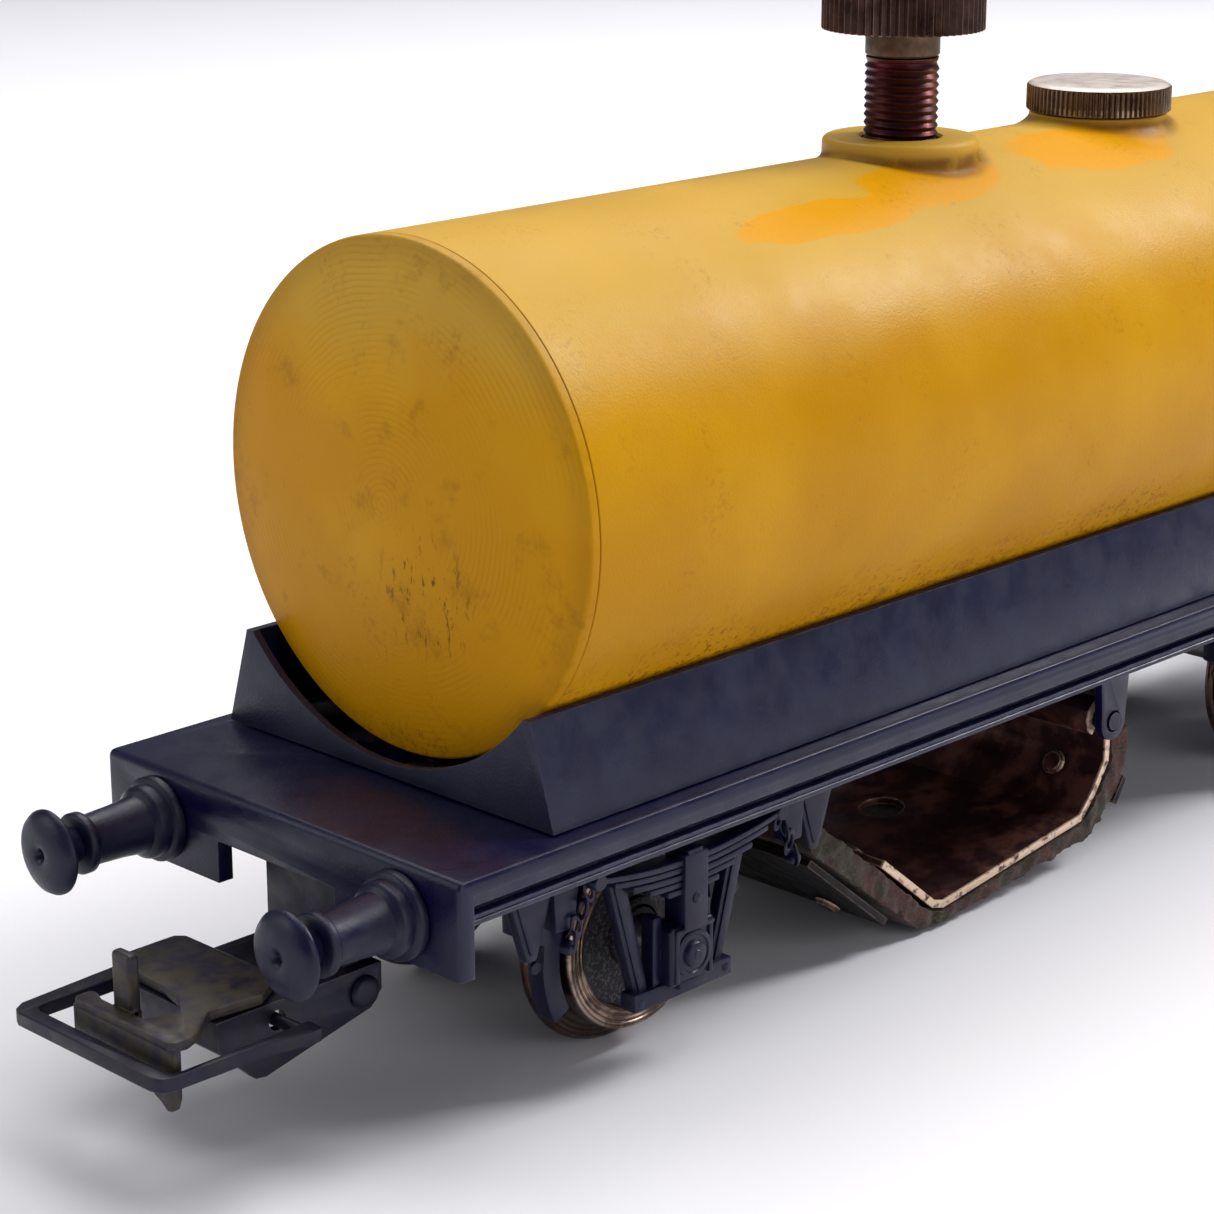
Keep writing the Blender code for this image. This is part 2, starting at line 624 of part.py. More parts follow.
def build_filler():
    """The knurled filler cap with its threaded plug, and the gasket under its rim."""
    centre = (FILLER_OFFSET, 0, 0)
    axis = joint_axis("filler_axis", (FILLER_OFFSET, 0, NECK_TOP))
    seat = NECK_TOP + SEAT_GAP
    under = seat + GASKET_THICKNESS + SEAT_GAP
    top = NECK_TOP + CAP_HEIGHT
    rim = CAP_DIAMETER / 2
    plug = NECK_BORE / 2 - RUNNING_GAP
    low = NECK_TOP - CAP_PLUG_LENGTH
    profile = [
        (0, low), (plug, low), (plug, under), (rim - 0.1, under), (rim, under + 0.15), (rim, top - 0.25),
        (rim - 0.3, top), (0, top + 0.1),
    ]
    origin = (FILLER_OFFSET, 0, NECK_TOP)
    piece_of("filler_cap", turned("Z", profile, 32, centre), "dark_brass", origin, axis)
    hole = plug + RUNNING_GAP
    edge = NECK_DIAMETER / 2
    ring = [(hole, seat), (edge, seat), (edge, seat + GASKET_THICKNESS), (hole, seat + GASKET_THICKNESS)]
    piece_of("filler_gasket", turned("Z", ring, 24, centre), "fibre", origin, axis)


# ---- buffers ---------------------------------------------------------------------------------
def build_buffers():
    """Four buffers, each with a domed head, a neck, a collar, a tapered sleeve and a stub in the headstock."""
    face = FLOOR_END + BUFFER_PROJECTION
    head = BUFFER_HEAD_DIAMETER / 2
    flange = BUFFER_FLANGE_DIAMETER / 2
    stub = BUFFER_STUB_DIAMETER / 2
    seat = FLOOR_END + SEAT_GAP
    profile = [
        (0, face - 0.12), (0.25, face), (head * 0.6, face - 0.15), (head, face - 0.75), (head - 0.15, face - 1.0),
        (1.05, face - 1.35), (1.0, face - 2.3), (1.75, face - 2.45), (1.75, face - 3.0), (1.45, face - 3.15),
        (1.65, seat + 1.5), (flange - 0.1, seat + 1.3), (flange, seat + 0.5), (flange + 0.35, seat + 0.45),
        (flange + 0.35, seat), (stub, seat), (stub, FLOOR_END - HEADSTOCK_THICKNESS - 0.4),
        (0, FLOOR_END - HEADSTOCK_THICKNESS - 0.4),
    ]
    solid = turned("X", profile, 16)
    mesh = finished_mesh("buffer", solid, (0, 0, 0))
    half = BUFFER_SPACING / 2
    stand("buffer_front_left", mesh, "moulded_black", (0, half, BUFFER_HEIGHT))
    stand("buffer_front_right", mesh, "moulded_black", (0, -half, BUFFER_HEIGHT))
    stand("buffer_rear_left", mesh, "moulded_black", (0, -half, BUFFER_HEIGHT), half_turn=True)
    stand("buffer_rear_right", mesh, "moulded_black", (0, half, BUFFER_HEIGHT), half_turn=True)


# ---- axleguards --------------------------------------------------------------------------------
def leaf_outline(index, top):
    """Return the outline of one spring leaf, curved up towards its ends."""
    half = SPRING_LENGTH / 2 * (1 - index / (SPRING_LEAVES + 0.5))
    steps = 6
    upper = []
    for i in range(steps + 1):
        run = -half + 2 * half * i / steps
        rise = SPRING_RISE * (2 * run / SPRING_LENGTH) ** 2
        upper.append((run, top - index * SPRING_LEAF + rise))
    lower = [(run, height - SPRING_LEAF * 1.04) for run, height in reversed(upper)]
    return upper + lower


def brake_outline(end):
    """Return the outline of a brake hanger with a block that follows the wheel's tread."""
    radius = TREAD_RADIUS + LOOSE_GAP + 0.1
    face = arc((0, AXLE_HEIGHT), radius, 27, -29, 6)
    back = arc((0, AXLE_HEIGHT), radius + BRAKE_SHOE_THICKNESS, -29, 10, 3)
    root = FLOOR_UNDERSIDE - SEAT_GAP - 0.35
    knee = FLANGE_RADIUS + LOOSE_GAP
    points = [(knee + 0.2, root)] + face + back + [(knee + 2.0, AXLE_HEIGHT + 2.4), (knee + 2.2, root)]
    return [(end * x, z) for x, z in points]


def guard_solid():
    """Return one axleguard moulding, with its axle at x = 0 and its outer side towards +Y."""
    inner = GUARD_INNER_FACE
    outer = inner + GUARD_THICKNESS
    roof = FLOOR_UNDERSIDE - SEAT_GAP
    keep_low = AXLE_HEIGHT - KEEP_DROP
    keep_high = keep_low + KEEP_HEIGHT
    guard_top = SOLEBAR_BOTTOM - RUNNING_GAP
    body = block((-BRACKET_FAR, BRACKET_FAR), (inner, outer), (guard_top - 0.3, roof))
    solids = []
    for end in (1, -1):
        leg = [(GUARD_LEG_TOP, guard_top), (GUARD_LEG_TOP - GUARD_LEG_WIDTH * 1.2, guard_top),
               (GUARD_LEG_BOTTOM - GUARD_LEG_WIDTH, keep_low + 0.2), (GUARD_LEG_BOTTOM, keep_low + 0.2)]
        solids.append(prism("XZ", [(end * x, z) for x, z in leg], inner + 0.02, outer - 0.02))
        tip = (BRACKET_NEAR + BRACKET_FAR) / 2
        gusset = [(BRACKET_NEAR, guard_top), (BRACKET_FAR - 0.05, guard_top),
                  (tip + 0.3, SOLEBAR_BOTTOM - BRACKET_DROP), (tip - 0.3, SOLEBAR_BOTTOM - BRACKET_DROP)]
        solids.append(prism("XZ", [(end * x, z) for x, z in gusset], inner + 0.1, outer + 0.15))
        guide = AXLEBOX_WIDTH / 2
        box_top = AXLE_HEIGHT + AXLEBOX_HEIGHT / 2
        solids.append(block((end * (guide - 0.1), end * (guide + 0.6)), (inner + 0.03, outer + 0.2),
                            (keep_low + 0.3, box_top + 0.6)))
        eye_x = SPRING_LENGTH / 2 - 0.2
        eye_z = roof - SPRING_DROP + AXLEBOX_HEIGHT / 2 - 0.2
        drop = [(eye_x - 0.5, eye_z), (eye_x + 0.4, eye_z + 0.3), (eye_x + SHACKLE_REACH + 0.35, eye_z - SHACKLE_DROP),
                (eye_x + SHACKLE_REACH - 0.35, eye_z - SHACKLE_DROP)]
        solids.append(prism("XZ", [(end * x, z) for x, z in drop], outer + 0.15, outer + 0.75))
        tie = [(BRACKET_NEAR - 1.6, guard_top), (BRACKET_NEAR + 0.4, guard_top),
               (BRACKET_NEAR + 0.2, SOLEBAR_BOTTOM - 3.0), (BRACKET_NEAR - 1.2, SOLEBAR_BOTTOM - 3.0)]
        solids.append(prism("XZ", [(end * x, z) for x, z in tie], inner + 0.05, outer + 0.35))
        wheel_face = BACK_TO_BACK / 2 + WHEEL_WIDTH
        brake_outer = wheel_face - 0.2
        solids.append(prism("XZ", brake_outline(end), brake_outer - BRAKE_SHOE_WIDTH, brake_outer))
        knee = FLANGE_RADIUS + LOOSE_GAP
        solids.append(block((end * (knee + 0.4), end * (knee + 2.0)), (brake_outer - 0.5, inner + 0.4),
                            (roof - 1.0, roof - 0.05)))
    half_box = AXLEBOX_WIDTH / 2
    box_low = keep_high - 0.1
    box_high = AXLE_HEIGHT + AXLEBOX_HEIGHT / 2
    solids.append(block((-half_box, half_box), (inner + 0.04, outer + AXLEBOX_DEPTH), (box_low, box_high)))
    lid = rod("Y", AXLEBOX_LID_DIAMETER / 2, outer + 0.5, outer + AXLEBOX_DEPTH + 0.2, 16, (0, 0, AXLE_HEIGHT))
    solids.append(lid)
    solids.append(block((-GUARD_LEG_BOTTOM - 0.6, GUARD_LEG_BOTTOM + 0.6), (inner + 0.01, outer + 0.4),
                        (keep_low, keep_high)))
    spring_top = roof - SPRING_DROP + AXLEBOX_HEIGHT / 2
    spring_back = outer + 0.1
    for index in range(SPRING_LEAVES):
        depth = spring_back + SPRING_WIDTH - 0.04 * (index % 2)
        solids.append(prism("XZ", leaf_outline(index, spring_top), outer - 0.3 + 0.01 * index, depth))
    buckle_low = box_high - 0.2
    solids.append(block((-BUCKLE_WIDTH / 2, BUCKLE_WIDTH / 2), (outer - 0.35, spring_back + SPRING_WIDTH + 0.25),
                        (buckle_low, spring_top + 0.3)))
    foot_inner = inner - GUARD_FOOT_WIDTH
    solids.append(block((-3.0, 3.0), (foot_inner, inner + 0.3), (roof - 0.8, roof - 0.02)))
    stud = (0, inner - GUARD_FOOT_WIDTH / 2, 0)
    solids.append(rod("Z", 0.5, roof - 0.5, FLOOR_TOP - 0.1, 12, stud))
    body = fuse(body, *solids)
    bearing = rod("Y", CUP_DIAMETER / 2 + HOLE_GAP, inner - 1, inner + CUP_LENGTH + LOOSE_GAP, 16, (0, 0, AXLE_HEIGHT))
    return cut(body, bearing)


def build_axleguards():
    """Four axleguard mouldings and the brass bearing cup pressed into each."""
    guard = finished_mesh("axleguard", guard_solid(), (0, 0, 0))
    inner = GUARD_INNER_FACE - SEAT_GAP
    low = inner - CUP_FLANGE_THICKNESS
    high = GUARD_INNER_FACE + CUP_LENGTH
    flange = CUP_FLANGE_DIAMETER / 2
    body = CUP_DIAMETER / 2
    pocket = AXLE_HALF_LENGTH + RUNNING_GAP
    profile = [(0.8, low), (flange, low), (flange, inner), (body, inner), (body, high), (0, high), (0, pocket), (0.2, pocket)]
    cup = finished_mesh("bearing_cup", turned("Y", profile, 16), (0, 0, 0))
    for end, along in ((1, "front"), (-1, "rear")):
        for side, across in ((1, "left"), (-1, "right")):
            spot = (end * side * AXLE_X, 0, 0)
            stand(f"axleguard_{along}_{across}", guard, "moulded_black", spot, half_turn=side < 0)
            cup_spot = (end * side * AXLE_X, 0, AXLE_HEIGHT)
            stand(f"bearing_cup_{along}_{across}", cup, "bare_brass", cup_spot, half_turn=side < 0)


# ---- wheelsets ---------------------------------------------------------------------------------
def wheel_profile(bore):
    """Return the section of one wheel, from its back face at the gauge side to its outer face."""
    back = BACK_TO_BACK / 2
    face = back + WHEEL_WIDTH
    rim = TREAD_RADIUS - RIM_FACE_WIDTH
    hub = HUB_DIAMETER / 2
    return [
        (bore, back + 0.1), (hub, back + 0.1), (hub + 0.2, back + 0.7), (rim - 0.2, back + 0.7), (rim, back),
        (FLANGE_RADIUS - 0.25, back), (FLANGE_RADIUS, back + 0.3), (FLANGE_RADIUS - 0.2, back + 0.65),
        (TREAD_RADIUS + 0.15, back + FLANGE_WIDTH + 0.3), (TREAD_RADIUS - 0.02, face - 0.2),
        (TREAD_RADIUS - 0.2, face), (rim, face), (rim - 0.15, face - WEB_RECESS), (hub, face - WEB_RECESS),
        (hub - 0.1, face - 0.1), (bore, face - 0.1),
    ]


def build_wheelsets():
    """Two wheelsets: an axle with pointed ends, two wheels, and an insulating bush in the left wheel."""
    axle_radius = AXLE_DIAMETER / 2
    shoulder = AXLE_HALF_LENGTH - AXLE_POINT_LENGTH
    axle_half = [(axle_radius, -shoulder), (axle_radius, shoulder), (0.15, AXLE_HALF_LENGTH), (0, AXLE_HALF_LENGTH)]
    axle_profile = [(0, -AXLE_HALF_LENGTH), (0.15, -AXLE_HALF_LENGTH)] + axle_half
    axle = finished_mesh("axle", turned("Y", axle_profile, 16), (0, 0, 0))
    bush_bore = axle_radius + HOLE_GAP
    bush_outer = bush_bore + BUSH_WALL
    bush_low = BACK_TO_BACK / 2 - 0.2
    bush_high = BACK_TO_BACK / 2 + WHEEL_WIDTH
    ring = [(bush_bore, bush_low), (bush_outer, bush_low), (bush_outer, bush_high), (bush_bore, bush_high)]
    bush = finished_mesh("insulating_bush", turned("Y", ring, 16), (0, 0, 0))
    bushed = finished_mesh("wheel_bushed", turned("Y", wheel_profile(bush_outer + HOLE_GAP), 32, first_corner=0), (0, 0, 0))
    plain = finished_mesh("wheel_plain", turned("Y", wheel_profile(axle_radius + HOLE_GAP), 32, first_corner=0), (0, 0, 0))
    for end, along in ((1, "front"), (-1, "rear")):
        centre = joint_axis(f"{along}_axle_axis", (end * AXLE_X, 0, AXLE_HEIGHT))
        spot = (end * AXLE_X, 0, AXLE_HEIGHT)
        stand(f"axle_{along}", axle, "steel", spot, centre)
        stand(f"wheel_{along}_left", bushed, "nickel", spot, centre)
        stand(f"insulating_bush_{along}", bush, "insulator", spot, centre)
        turned_spot = (-end * AXLE_X, 0, AXLE_HEIGHT)
        stand(f"wheel_{along}_right", plain, "nickel", turned_spot, centre, half_turn=True)


# ---- couplers --------------------------------------------------------------------------------
def arm_solid():
    """Return the coupler arm: a pivot tongue under the floor, a stem behind the headstock, a hollow box."""
    tongue_top = FLOOR_UNDERSIDE - RUNNING_GAP
    tongue_low = tongue_top - 0.8
    stem_front = FLOOR_END - HEADSTOCK_THICKNESS - COUPLER_STEM_GAP
    stem_back = stem_front - 1.0
    half_stem = COUPLER_STEM_WIDTH / 2
    box_low = ARM_TOP - COUPLER_ARM_HEIGHT
    half = COUPLER_ARM_WIDTH / 2
    back = stem_back - 1.0
    front = FLOOR_END + COUPLER_ARM_REACH
    round_end = arc((COUPLER_PIVOT_X, 0), 2.3, 90, 270, 8)
    tongue = prism("XY", round_end + [(stem_front - 0.1, -2.3), (stem_front - 0.1, 2.3)], tongue_low, tongue_top)
    stem = block((stem_back, stem_front), (-half_stem, half_stem), (ARM_TOP - 0.4, tongue_top - 0.02))
    side_view = [(back, ARM_TOP), (back, box_low + 2.5), (back + 0.8, box_low + 1.6), (front - 3.2, box_low),
                 (front - 2.5, box_low + 0.1), (front - 0.1, box_low + 2.4), (front, ARM_TOP)]
    box = prism("XZ", side_view, -half, half)
    arm = fuse(box, stem, tongue)
    wall = COUPLER_ARM_WALL
    hollow = block((back + 2.4, front - wall), (-half + wall, half - wall), (box_low - 1, ARM_TOP - wall))
    screw_hole = rod("Z", COUPLER_SCREW_DIAMETER / 2 + RUNNING_GAP, tongue_low - 1, tongue_top + 1, 16,
                     (COUPLER_PIVOT_X, 0, 0))
    pin_hole = rod("Y", LOOP_PIN_DIAMETER / 2 + RUNNING_GAP, -half - 1, half + 1, 12, LOOP_HINGE)
    rivet_hole = rod("Y", 0.6 + HOLE_GAP, -half - 1, half + 1, 12, ARM_RIVET)
    return cut(arm, hollow, screw_hole, pin_hole, rivet_hole)


def head_solid():
    """Return the stamped coupler head: a C-shaped plate, an upright finger, and an apron with a side hook."""
    base = ARM_TOP + SEAT_GAP
    top = base + COUPLER_SHEET
    half = COUPLER_HEAD_WIDTH / 2
    rear = FLOOR_END + 2.2
    front = LOOP_FRONT_X - LOOP_BAR - 2 * RUNNING_GAP
    gap_rear = FLOOR_END + 7.0
    gap_front = front - 2.0
    outline = [
        (rear, -half + 0.5), (rear + 0.5, -half), (gap_rear - 1.0, -half), (gap_rear - 0.3, -half + 0.6),
        (gap_rear, -2.4), (gap_rear + 0.3, 0.4), (gap_rear + 1.4, 1.9), (gap_front, 2.1), (gap_front, -2.0),
        (front - 0.5, -3.0), (front, -3.0), (front, half - 0.6), (front - 0.7, half - 0.1), (front - 2.6, half - 0.8),
        (front - 4.4, 3.5), (front - 5.2, 4.1), (rear + 2.2, 4.0), (rear + 0.5, 3.0), (rear, 1.6),
    ]
    plate = prism("XY", outline, base, top)
    finger_back = gap_front + 0.3
    finger = block((finger_back, finger_back + 0.8), (-0.7, -0.7 + FINGER_WIDTH), (base + 0.02, top + FINGER_HEIGHT))
    low = top - APRON_DEPTH
    tip = top - SIDE_HOOK_DEPTH
    apron = [(-2.95, base + 0.3), (-2.95, low), (1.9, low), (3.6, low - 0.5), (half - 0.7, tip), (half - 0.15, tip + 0.2),
             (half - 0.15, base + 0.3)]
    front_apron = prism("YZ", apron, front - COUPLER_SHEET, front - 0.01)
    return fuse(plate, finger, front_apron)


def loop_solid():
    """Return the coupling loop: a front bar, two arms and a hinge bar that lies in the arm's cross holes."""
    low = LOOP_HINGE[2] - LOOP_THICKNESS / 2
    high = low + LOOP_THICKNESS
    inner = COUPLER_HEAD_WIDTH / 2 + RUNNING_GAP
    outer = inner + LOOP_BAR
    front = LOOP_FRONT_X
    rear = LOOP_HINGE_X - 0.6
    flared = outer + LOOP_ARM_FLARE
    corner = 0.9
    outline = [(rear, flared), (front - corner, outer + 0.05), (front, outer - corner)]
    outline += [(x, -y) for x, y in reversed(outline)]
    plate = prism("XY", outline, low, high)
    window = block((rear - 1, front - LOOP_BAR), (-inner, inner), (low - 1, high + 1))
    ring = cut(plate, window)
    reach = inner + LOOP_BAR / 2
    pin = rod("Y", LOOP_PIN_DIAMETER / 2 - 0.02, -reach, reach, 12, LOOP_HINGE)
    return fuse(ring, pin)


def build_couplers():
    """Two couplers, each an arm that swings under the floor, a riveted head, a loop and their pins."""
    pivot = (COUPLER_PIVOT_X, 0, FLOOR_UNDERSIDE)
    hinge = LOOP_HINGE
    arm = finished_mesh("coupler_arm", arm_solid(), pivot)
    head = finished_mesh("coupler_head", head_solid(), pivot)
    loop = finished_mesh("coupler_loop", loop_solid(), hinge)
    side = COUPLER_ARM_WIDTH / 2 + SEAT_GAP
    rivet_profile = [(0, -side - 0.35), (0.8, -side - 0.35), (0.95, -side), (0.6, -side), (0.6, side),
                     (0.95, side), (0.8, side + 0.35), (0, side + 0.35)]
    rivet = finished_mesh("coupler_rivet", turned("Y", rivet_profile, 14, ARM_RIVET), pivot)
    screw_radius = COUPLER_SCREW_DIAMETER / 2
    head_radius = COUPLER_SCREW_HEAD_DIAMETER / 2
    seat = FLOOR_UNDERSIDE - RUNNING_GAP - 0.8 - RUNNING_GAP
    profile = [(0, seat - 0.9), (head_radius - 0.3, seat - 0.9), (head_radius, seat - 0.5), (head_radius, seat),
               (screw_radius, seat), (screw_radius, FLOOR_TOP - 0.1), (0, FLOOR_TOP - 0.1)]
    slot = block((-head_radius, head_radius), (-0.25, 0.25), (seat - 2, seat - 0.5))
    screw = finished_mesh("coupler_screw", cut(turned("Z", profile, 18), slot), (0, 0, 0))
    for along, back in (("front", False), ("rear", True)):
        swing = joint_axis(f"coupler_axis_{along}", pivot if not back else (-pivot[0], 0, pivot[2]))
        lift = joint_axis(f"loop_axis_{along}", hinge if not back else (-hinge[0], 0, hinge[2]))
        stand(f"coupler_arm_{along}", arm, "burnished_steel", pivot, swing, back)
        stand(f"coupler_head_{along}", head, "burnished_steel", pivot, swing, back)
        stand(f"coupler_rivet_{along}", rivet, "burnished_steel", pivot, swing, back)
        stand(f"coupler_loop_{along}", loop, "burnished_steel", hinge, lift, back)
        stand(f"coupler_screw_{along}", screw, "steel", (COUPLER_PIVOT_X, 0, 0), half_turn=back)


# ---- cleaning pad ------------------------------------------------------------------------------
def pad_frame():
    """Return the trough's front corner, its rear bend, its knee and the hinge's centre, in the XZ plane."""
    corner = Vector((TROUGH_FRONT_X, PAD_GROUND_GAP + FELT_END))
    tilt = math.radians(TROUGH_TILT)
    bend = corner + TROUGH_LENGTH * Vector((-math.cos(tilt), math.sin(tilt)))
    slope = math.radians(REAR_SLOPE)
    knee = bend + REAR_SLOPE_LENGTH * Vector((-math.cos(slope), math.sin(slope)))
    wall = knee + Vector((-REAR_KNEE_RUN, REAR_KNEE_RISE))
    hinge = Vector((wall.x + HINGE_EYE_RADIUS, HINGE_ROD_HEIGHT))
    return corner, bend, knee, wall, hinge


def front_direction():
    """Return the direction in which the trough's front rises."""
    slope = math.radians(FRONT_SLOPE)
    return Vector((math.cos(slope), math.sin(slope)))


def holder_path(front_length, to_hinge):
    """Return the inner face of the trough as a path, from its front end to the curled eye or the wall."""
    corner, bend, knee, wall, hinge = pad_frame()
    front = corner + front_direction() * front_length
    path = [tuple(front), tuple(corner + front_direction() * 0.5)]
    path += [tuple(corner + Vector((-math.cos(math.radians(TROUGH_TILT)), math.sin(math.radians(TROUGH_TILT)))) * 0.5)]
    path += [tuple(bend), tuple(knee), tuple(wall)]
    if to_hinge:
        path += arc(tuple(hinge), HINGE_EYE_RADIUS, 180, -60, 8)
    else:
        path += [(wall.x, hinge.y - 1.1)]
    return path


def along_front(distance, outward):
    """Return the point at a distance up the front slope and at a distance outward from its inner face."""
    corner = pad_frame()[0]
    rise = front_direction()
    normal = Vector((rise.y, -rise.x))
    return corner + rise * distance + normal * outward


def front_plate(start, length, near, far):
    """Return the outline of a flat plate that lies along the front slope."""
    return [tuple(along_front(start, near)), tuple(along_front(start, far)),
            tuple(along_front(start + length, far)), tuple(along_front(start + length, near))]


def rivet_solid(spot, axis, low, high, y):
    """Return a rivet across the pad's layers, with its middle at a point of the XZ plane."""
    shank = PAD_RIVET_DIAMETER / 2
    head = PAD_RIVET_HEAD_DIAMETER / 2
    cap = PAD_RIVET_HEAD_HEIGHT
    profile = [(0, low - cap), (head - 0.2, low - cap), (head, low), (shank, low), (shank, high), (head, high),
               (head - 0.2, high + cap), (0, high + cap)]
    solid = turned("Z", profile, 12)
    turn = Vector((0, 0, 1)).rotation_difference(Vector((axis.x, 0, axis.y))).to_matrix().to_4x4()
    bmesh.ops.transform(solid, matrix=Matrix.Translation((spot.x, y, spot.y)) @ turn, verts=solid.verts)
    return solid


def rivet_hole(spot, axis, y):
    """Return the clearance hole of one pad rivet."""
    solid = rod("Z", PAD_RIVET_DIAMETER / 2 + HOLE_GAP, -6, 6, 12)
    turn = Vector((0, 0, 1)).rotation_difference(Vector((axis.x, 0, axis.y))).to_matrix().to_4x4()
    bmesh.ops.transform(solid, matrix=Matrix.Translation((spot.x, y, spot.y)) @ turn, verts=solid.verts)
    return solid


def build_pad():
    """The pad: a hinged trough of brass sheet, felt wrapped under it, two clips, their rivets and a bracket."""
    hinge = pad_frame()[4]
    knee, wall = pad_frame()[2:4]
    origin = (hinge.x, 0, hinge.y)
    axis = joint_axis("pad_axis", origin)
    rise = front_direction()
    front_normal = Vector((rise.y, -rise.x))
    rear_run = (wall - knee).normalized()
    rear_normal = Vector((-rear_run.y, rear_run.x))
    front_spot = along_front(5.6, 0)
    rear_spot = (knee + wall) / 2
    rivets = [("front", front_spot, front_normal), ("rear", rear_spot, rear_normal)]
    offsets = (PAD_RIVET_SPACING / 2, -PAD_RIVET_SPACING / 2)
    holes = [(spot, normal, y) for _, spot, normal in rivets for y in offsets]

    sheet = prism("XZ", strip(holder_path(FRONT_SLOPE_LENGTH, True), 0, PAD_SHEET), -PAD_HALF, PAD_HALF)
    openings = [rivet_hole(*hole) for hole in holes]
    openings.append(rod("Z", DRIP_HOLE_DIAMETER / 2, 0, 6, 16))
    window_top = hinge.y - HINGE_EYE_RADIUS
    for side in (1, -1):
        middle = side * WINDOW_OFFSET
        span = (middle - WINDOW_WIDTH / 2, middle + WINDOW_WIDTH / 2)
        openings.append(block((wall.x - 2, wall.x + 0.6), span, (window_top - WINDOW_HEIGHT + 0.9, window_top + 3)))
    piece_of("pad_holder", cut(sheet, *openings), "bare_brass", origin, axis)

    felt_half = PAD_HALF + FELT_OVERHANG
    felt_path = holder_path(FELT_FRONT_LENGTH, False)
    thickness = [FELT_JAW, FELT_JAW, FELT_END, (FELT_END + FELT_JAW) / 2, FELT_JAW, FELT_JAW, FELT_JAW]
    worn = [(x, max(z, PAD_GROUND_GAP)) for x, z in offset_path(felt_path, thickness)]
    outline = offset_path(felt_path, [FELT_START] * len(felt_path)) + list(reversed(worn))
    felt = prism("XZ", outline, -felt_half, felt_half)
    piece_of("felt_pad", cut(felt, *[rivet_hole(*hole) for hole in holes]), "felt", origin, axis)

    near = FELT_JAW + SEAT_GAP
    far = near + PAD_SHEET
    clip = prism("XZ", front_plate(FRONT_CLIP_START, FRONT_CLIP_LENGTH, near, far), -PAD_HALF, PAD_HALF)
    front_holes = [rivet_hole(front_spot, front_normal, y) for y in offsets]
    piece_of("pad_clip_front", cut(clip, *front_holes), "dark_brass", origin, axis)
    start = rear_spot - rear_run * REAR_CLIP_LENGTH / 2
    end = rear_spot + rear_run * REAR_CLIP_LENGTH / 2
    outline = [tuple(start + rear_normal * near), tuple(start + rear_normal * far),
               tuple(end + rear_normal * far), tuple(end + rear_normal * near)]
    clip = prism("XZ", outline, -PAD_HALF, PAD_HALF)
    rear_holes = [rivet_hole(rear_spot, rear_normal, y) for y in offsets]
    piece_of("pad_clip_rear", cut(clip, *rear_holes), "dark_brass", origin, axis)
    for along, spot, normal in rivets:
        for across, y in zip(("left", "right"), offsets):
            solid = rivet_solid(spot, normal, -SEAT_GAP, far + SEAT_GAP, y)
            piece_of(f"pad_rivet_{along}_{across}", solid, "bare_brass", origin, axis)

    ear_inner = felt_half + RUNNING_GAP
    ear_outer = ear_inner + BRACKET_EAR_THICKNESS
    roof = FLOOR_UNDERSIDE - SEAT_GAP
    half_ear = BRACKET_EAR_WIDTH / 2
    ear = [(hinge.x - half_ear, roof - 0.1)] + arc((hinge.x, hinge.y), 1.3, 200, 340, 6) + [(hinge.x + half_ear, roof - 0.1)]
    plate = block((hinge.x - half_ear, hinge.x + half_ear), (-ear_outer, ear_outer), (roof - 0.8, roof))
    ears = [prism("XZ", ear, side * ear_inner, side * ear_outer) for side in (1, -1)]
    bracket = fuse(plate, *ears)
    rod_hole = rod("Y", HINGE_ROD_DIAMETER / 2 + HOLE_GAP, -ear_outer - 1, ear_outer + 1, 14, origin)
    piece_of("pad_bracket", cut(bracket, rod_hole), "frame_black")
    rod_end = ear_outer + 0.1
    piece_of("pad_hinge_rod", rod("Y", HINGE_ROD_DIAMETER / 2, -rod_end, rod_end, 14, origin), "steel")


def main():
    """Clear the scene and build the wagon."""
    for item in list(bpy.data.objects):
        bpy.data.objects.remove(item)
    build_underframe()
    build_cradle()
    build_tank()
    build_tank_screws()
    build_valve()
    build_filler()
    build_buffers()
    build_axleguards()
    build_wheelsets()
    build_couplers()
    build_pad()


main()
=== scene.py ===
"""Looks of a two-axle model tank wagon with a drip-fed rail cleaning pad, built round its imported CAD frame.

New pieces are modelled in millimetres in the frame's own place and brought to metres when they are finished.
"""
import logging
import math
from collections.abc import Callable, Sequence
from dataclasses import dataclass, field
from enum import Enum

import bpy
from mathutils import Matrix, Vector, noise


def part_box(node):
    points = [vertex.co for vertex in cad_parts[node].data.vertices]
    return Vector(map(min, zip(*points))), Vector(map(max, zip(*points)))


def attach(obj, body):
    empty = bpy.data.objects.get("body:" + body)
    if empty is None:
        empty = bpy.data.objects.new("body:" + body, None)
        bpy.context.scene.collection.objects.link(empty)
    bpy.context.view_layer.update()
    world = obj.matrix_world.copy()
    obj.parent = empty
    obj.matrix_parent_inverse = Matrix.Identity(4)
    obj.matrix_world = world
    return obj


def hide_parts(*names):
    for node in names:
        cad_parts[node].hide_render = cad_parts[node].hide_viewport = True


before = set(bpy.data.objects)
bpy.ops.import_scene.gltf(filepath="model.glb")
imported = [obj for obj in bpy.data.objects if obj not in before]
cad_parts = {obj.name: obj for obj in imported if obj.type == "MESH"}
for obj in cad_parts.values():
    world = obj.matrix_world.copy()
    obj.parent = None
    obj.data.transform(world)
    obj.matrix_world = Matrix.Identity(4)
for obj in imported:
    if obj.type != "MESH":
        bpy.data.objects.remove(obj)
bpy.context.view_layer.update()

LOG = logging.getLogger("tank_wagon")
MM = 0.001
MERGE = 0.0005  # vertices nearer than this, in millimetres, are one
NODE_MERGE = 0.002  # the same for a CAD node, whose faces come apart
FLAT_ANGLE = 1.0  # faces within this many degrees of each other are one flat face
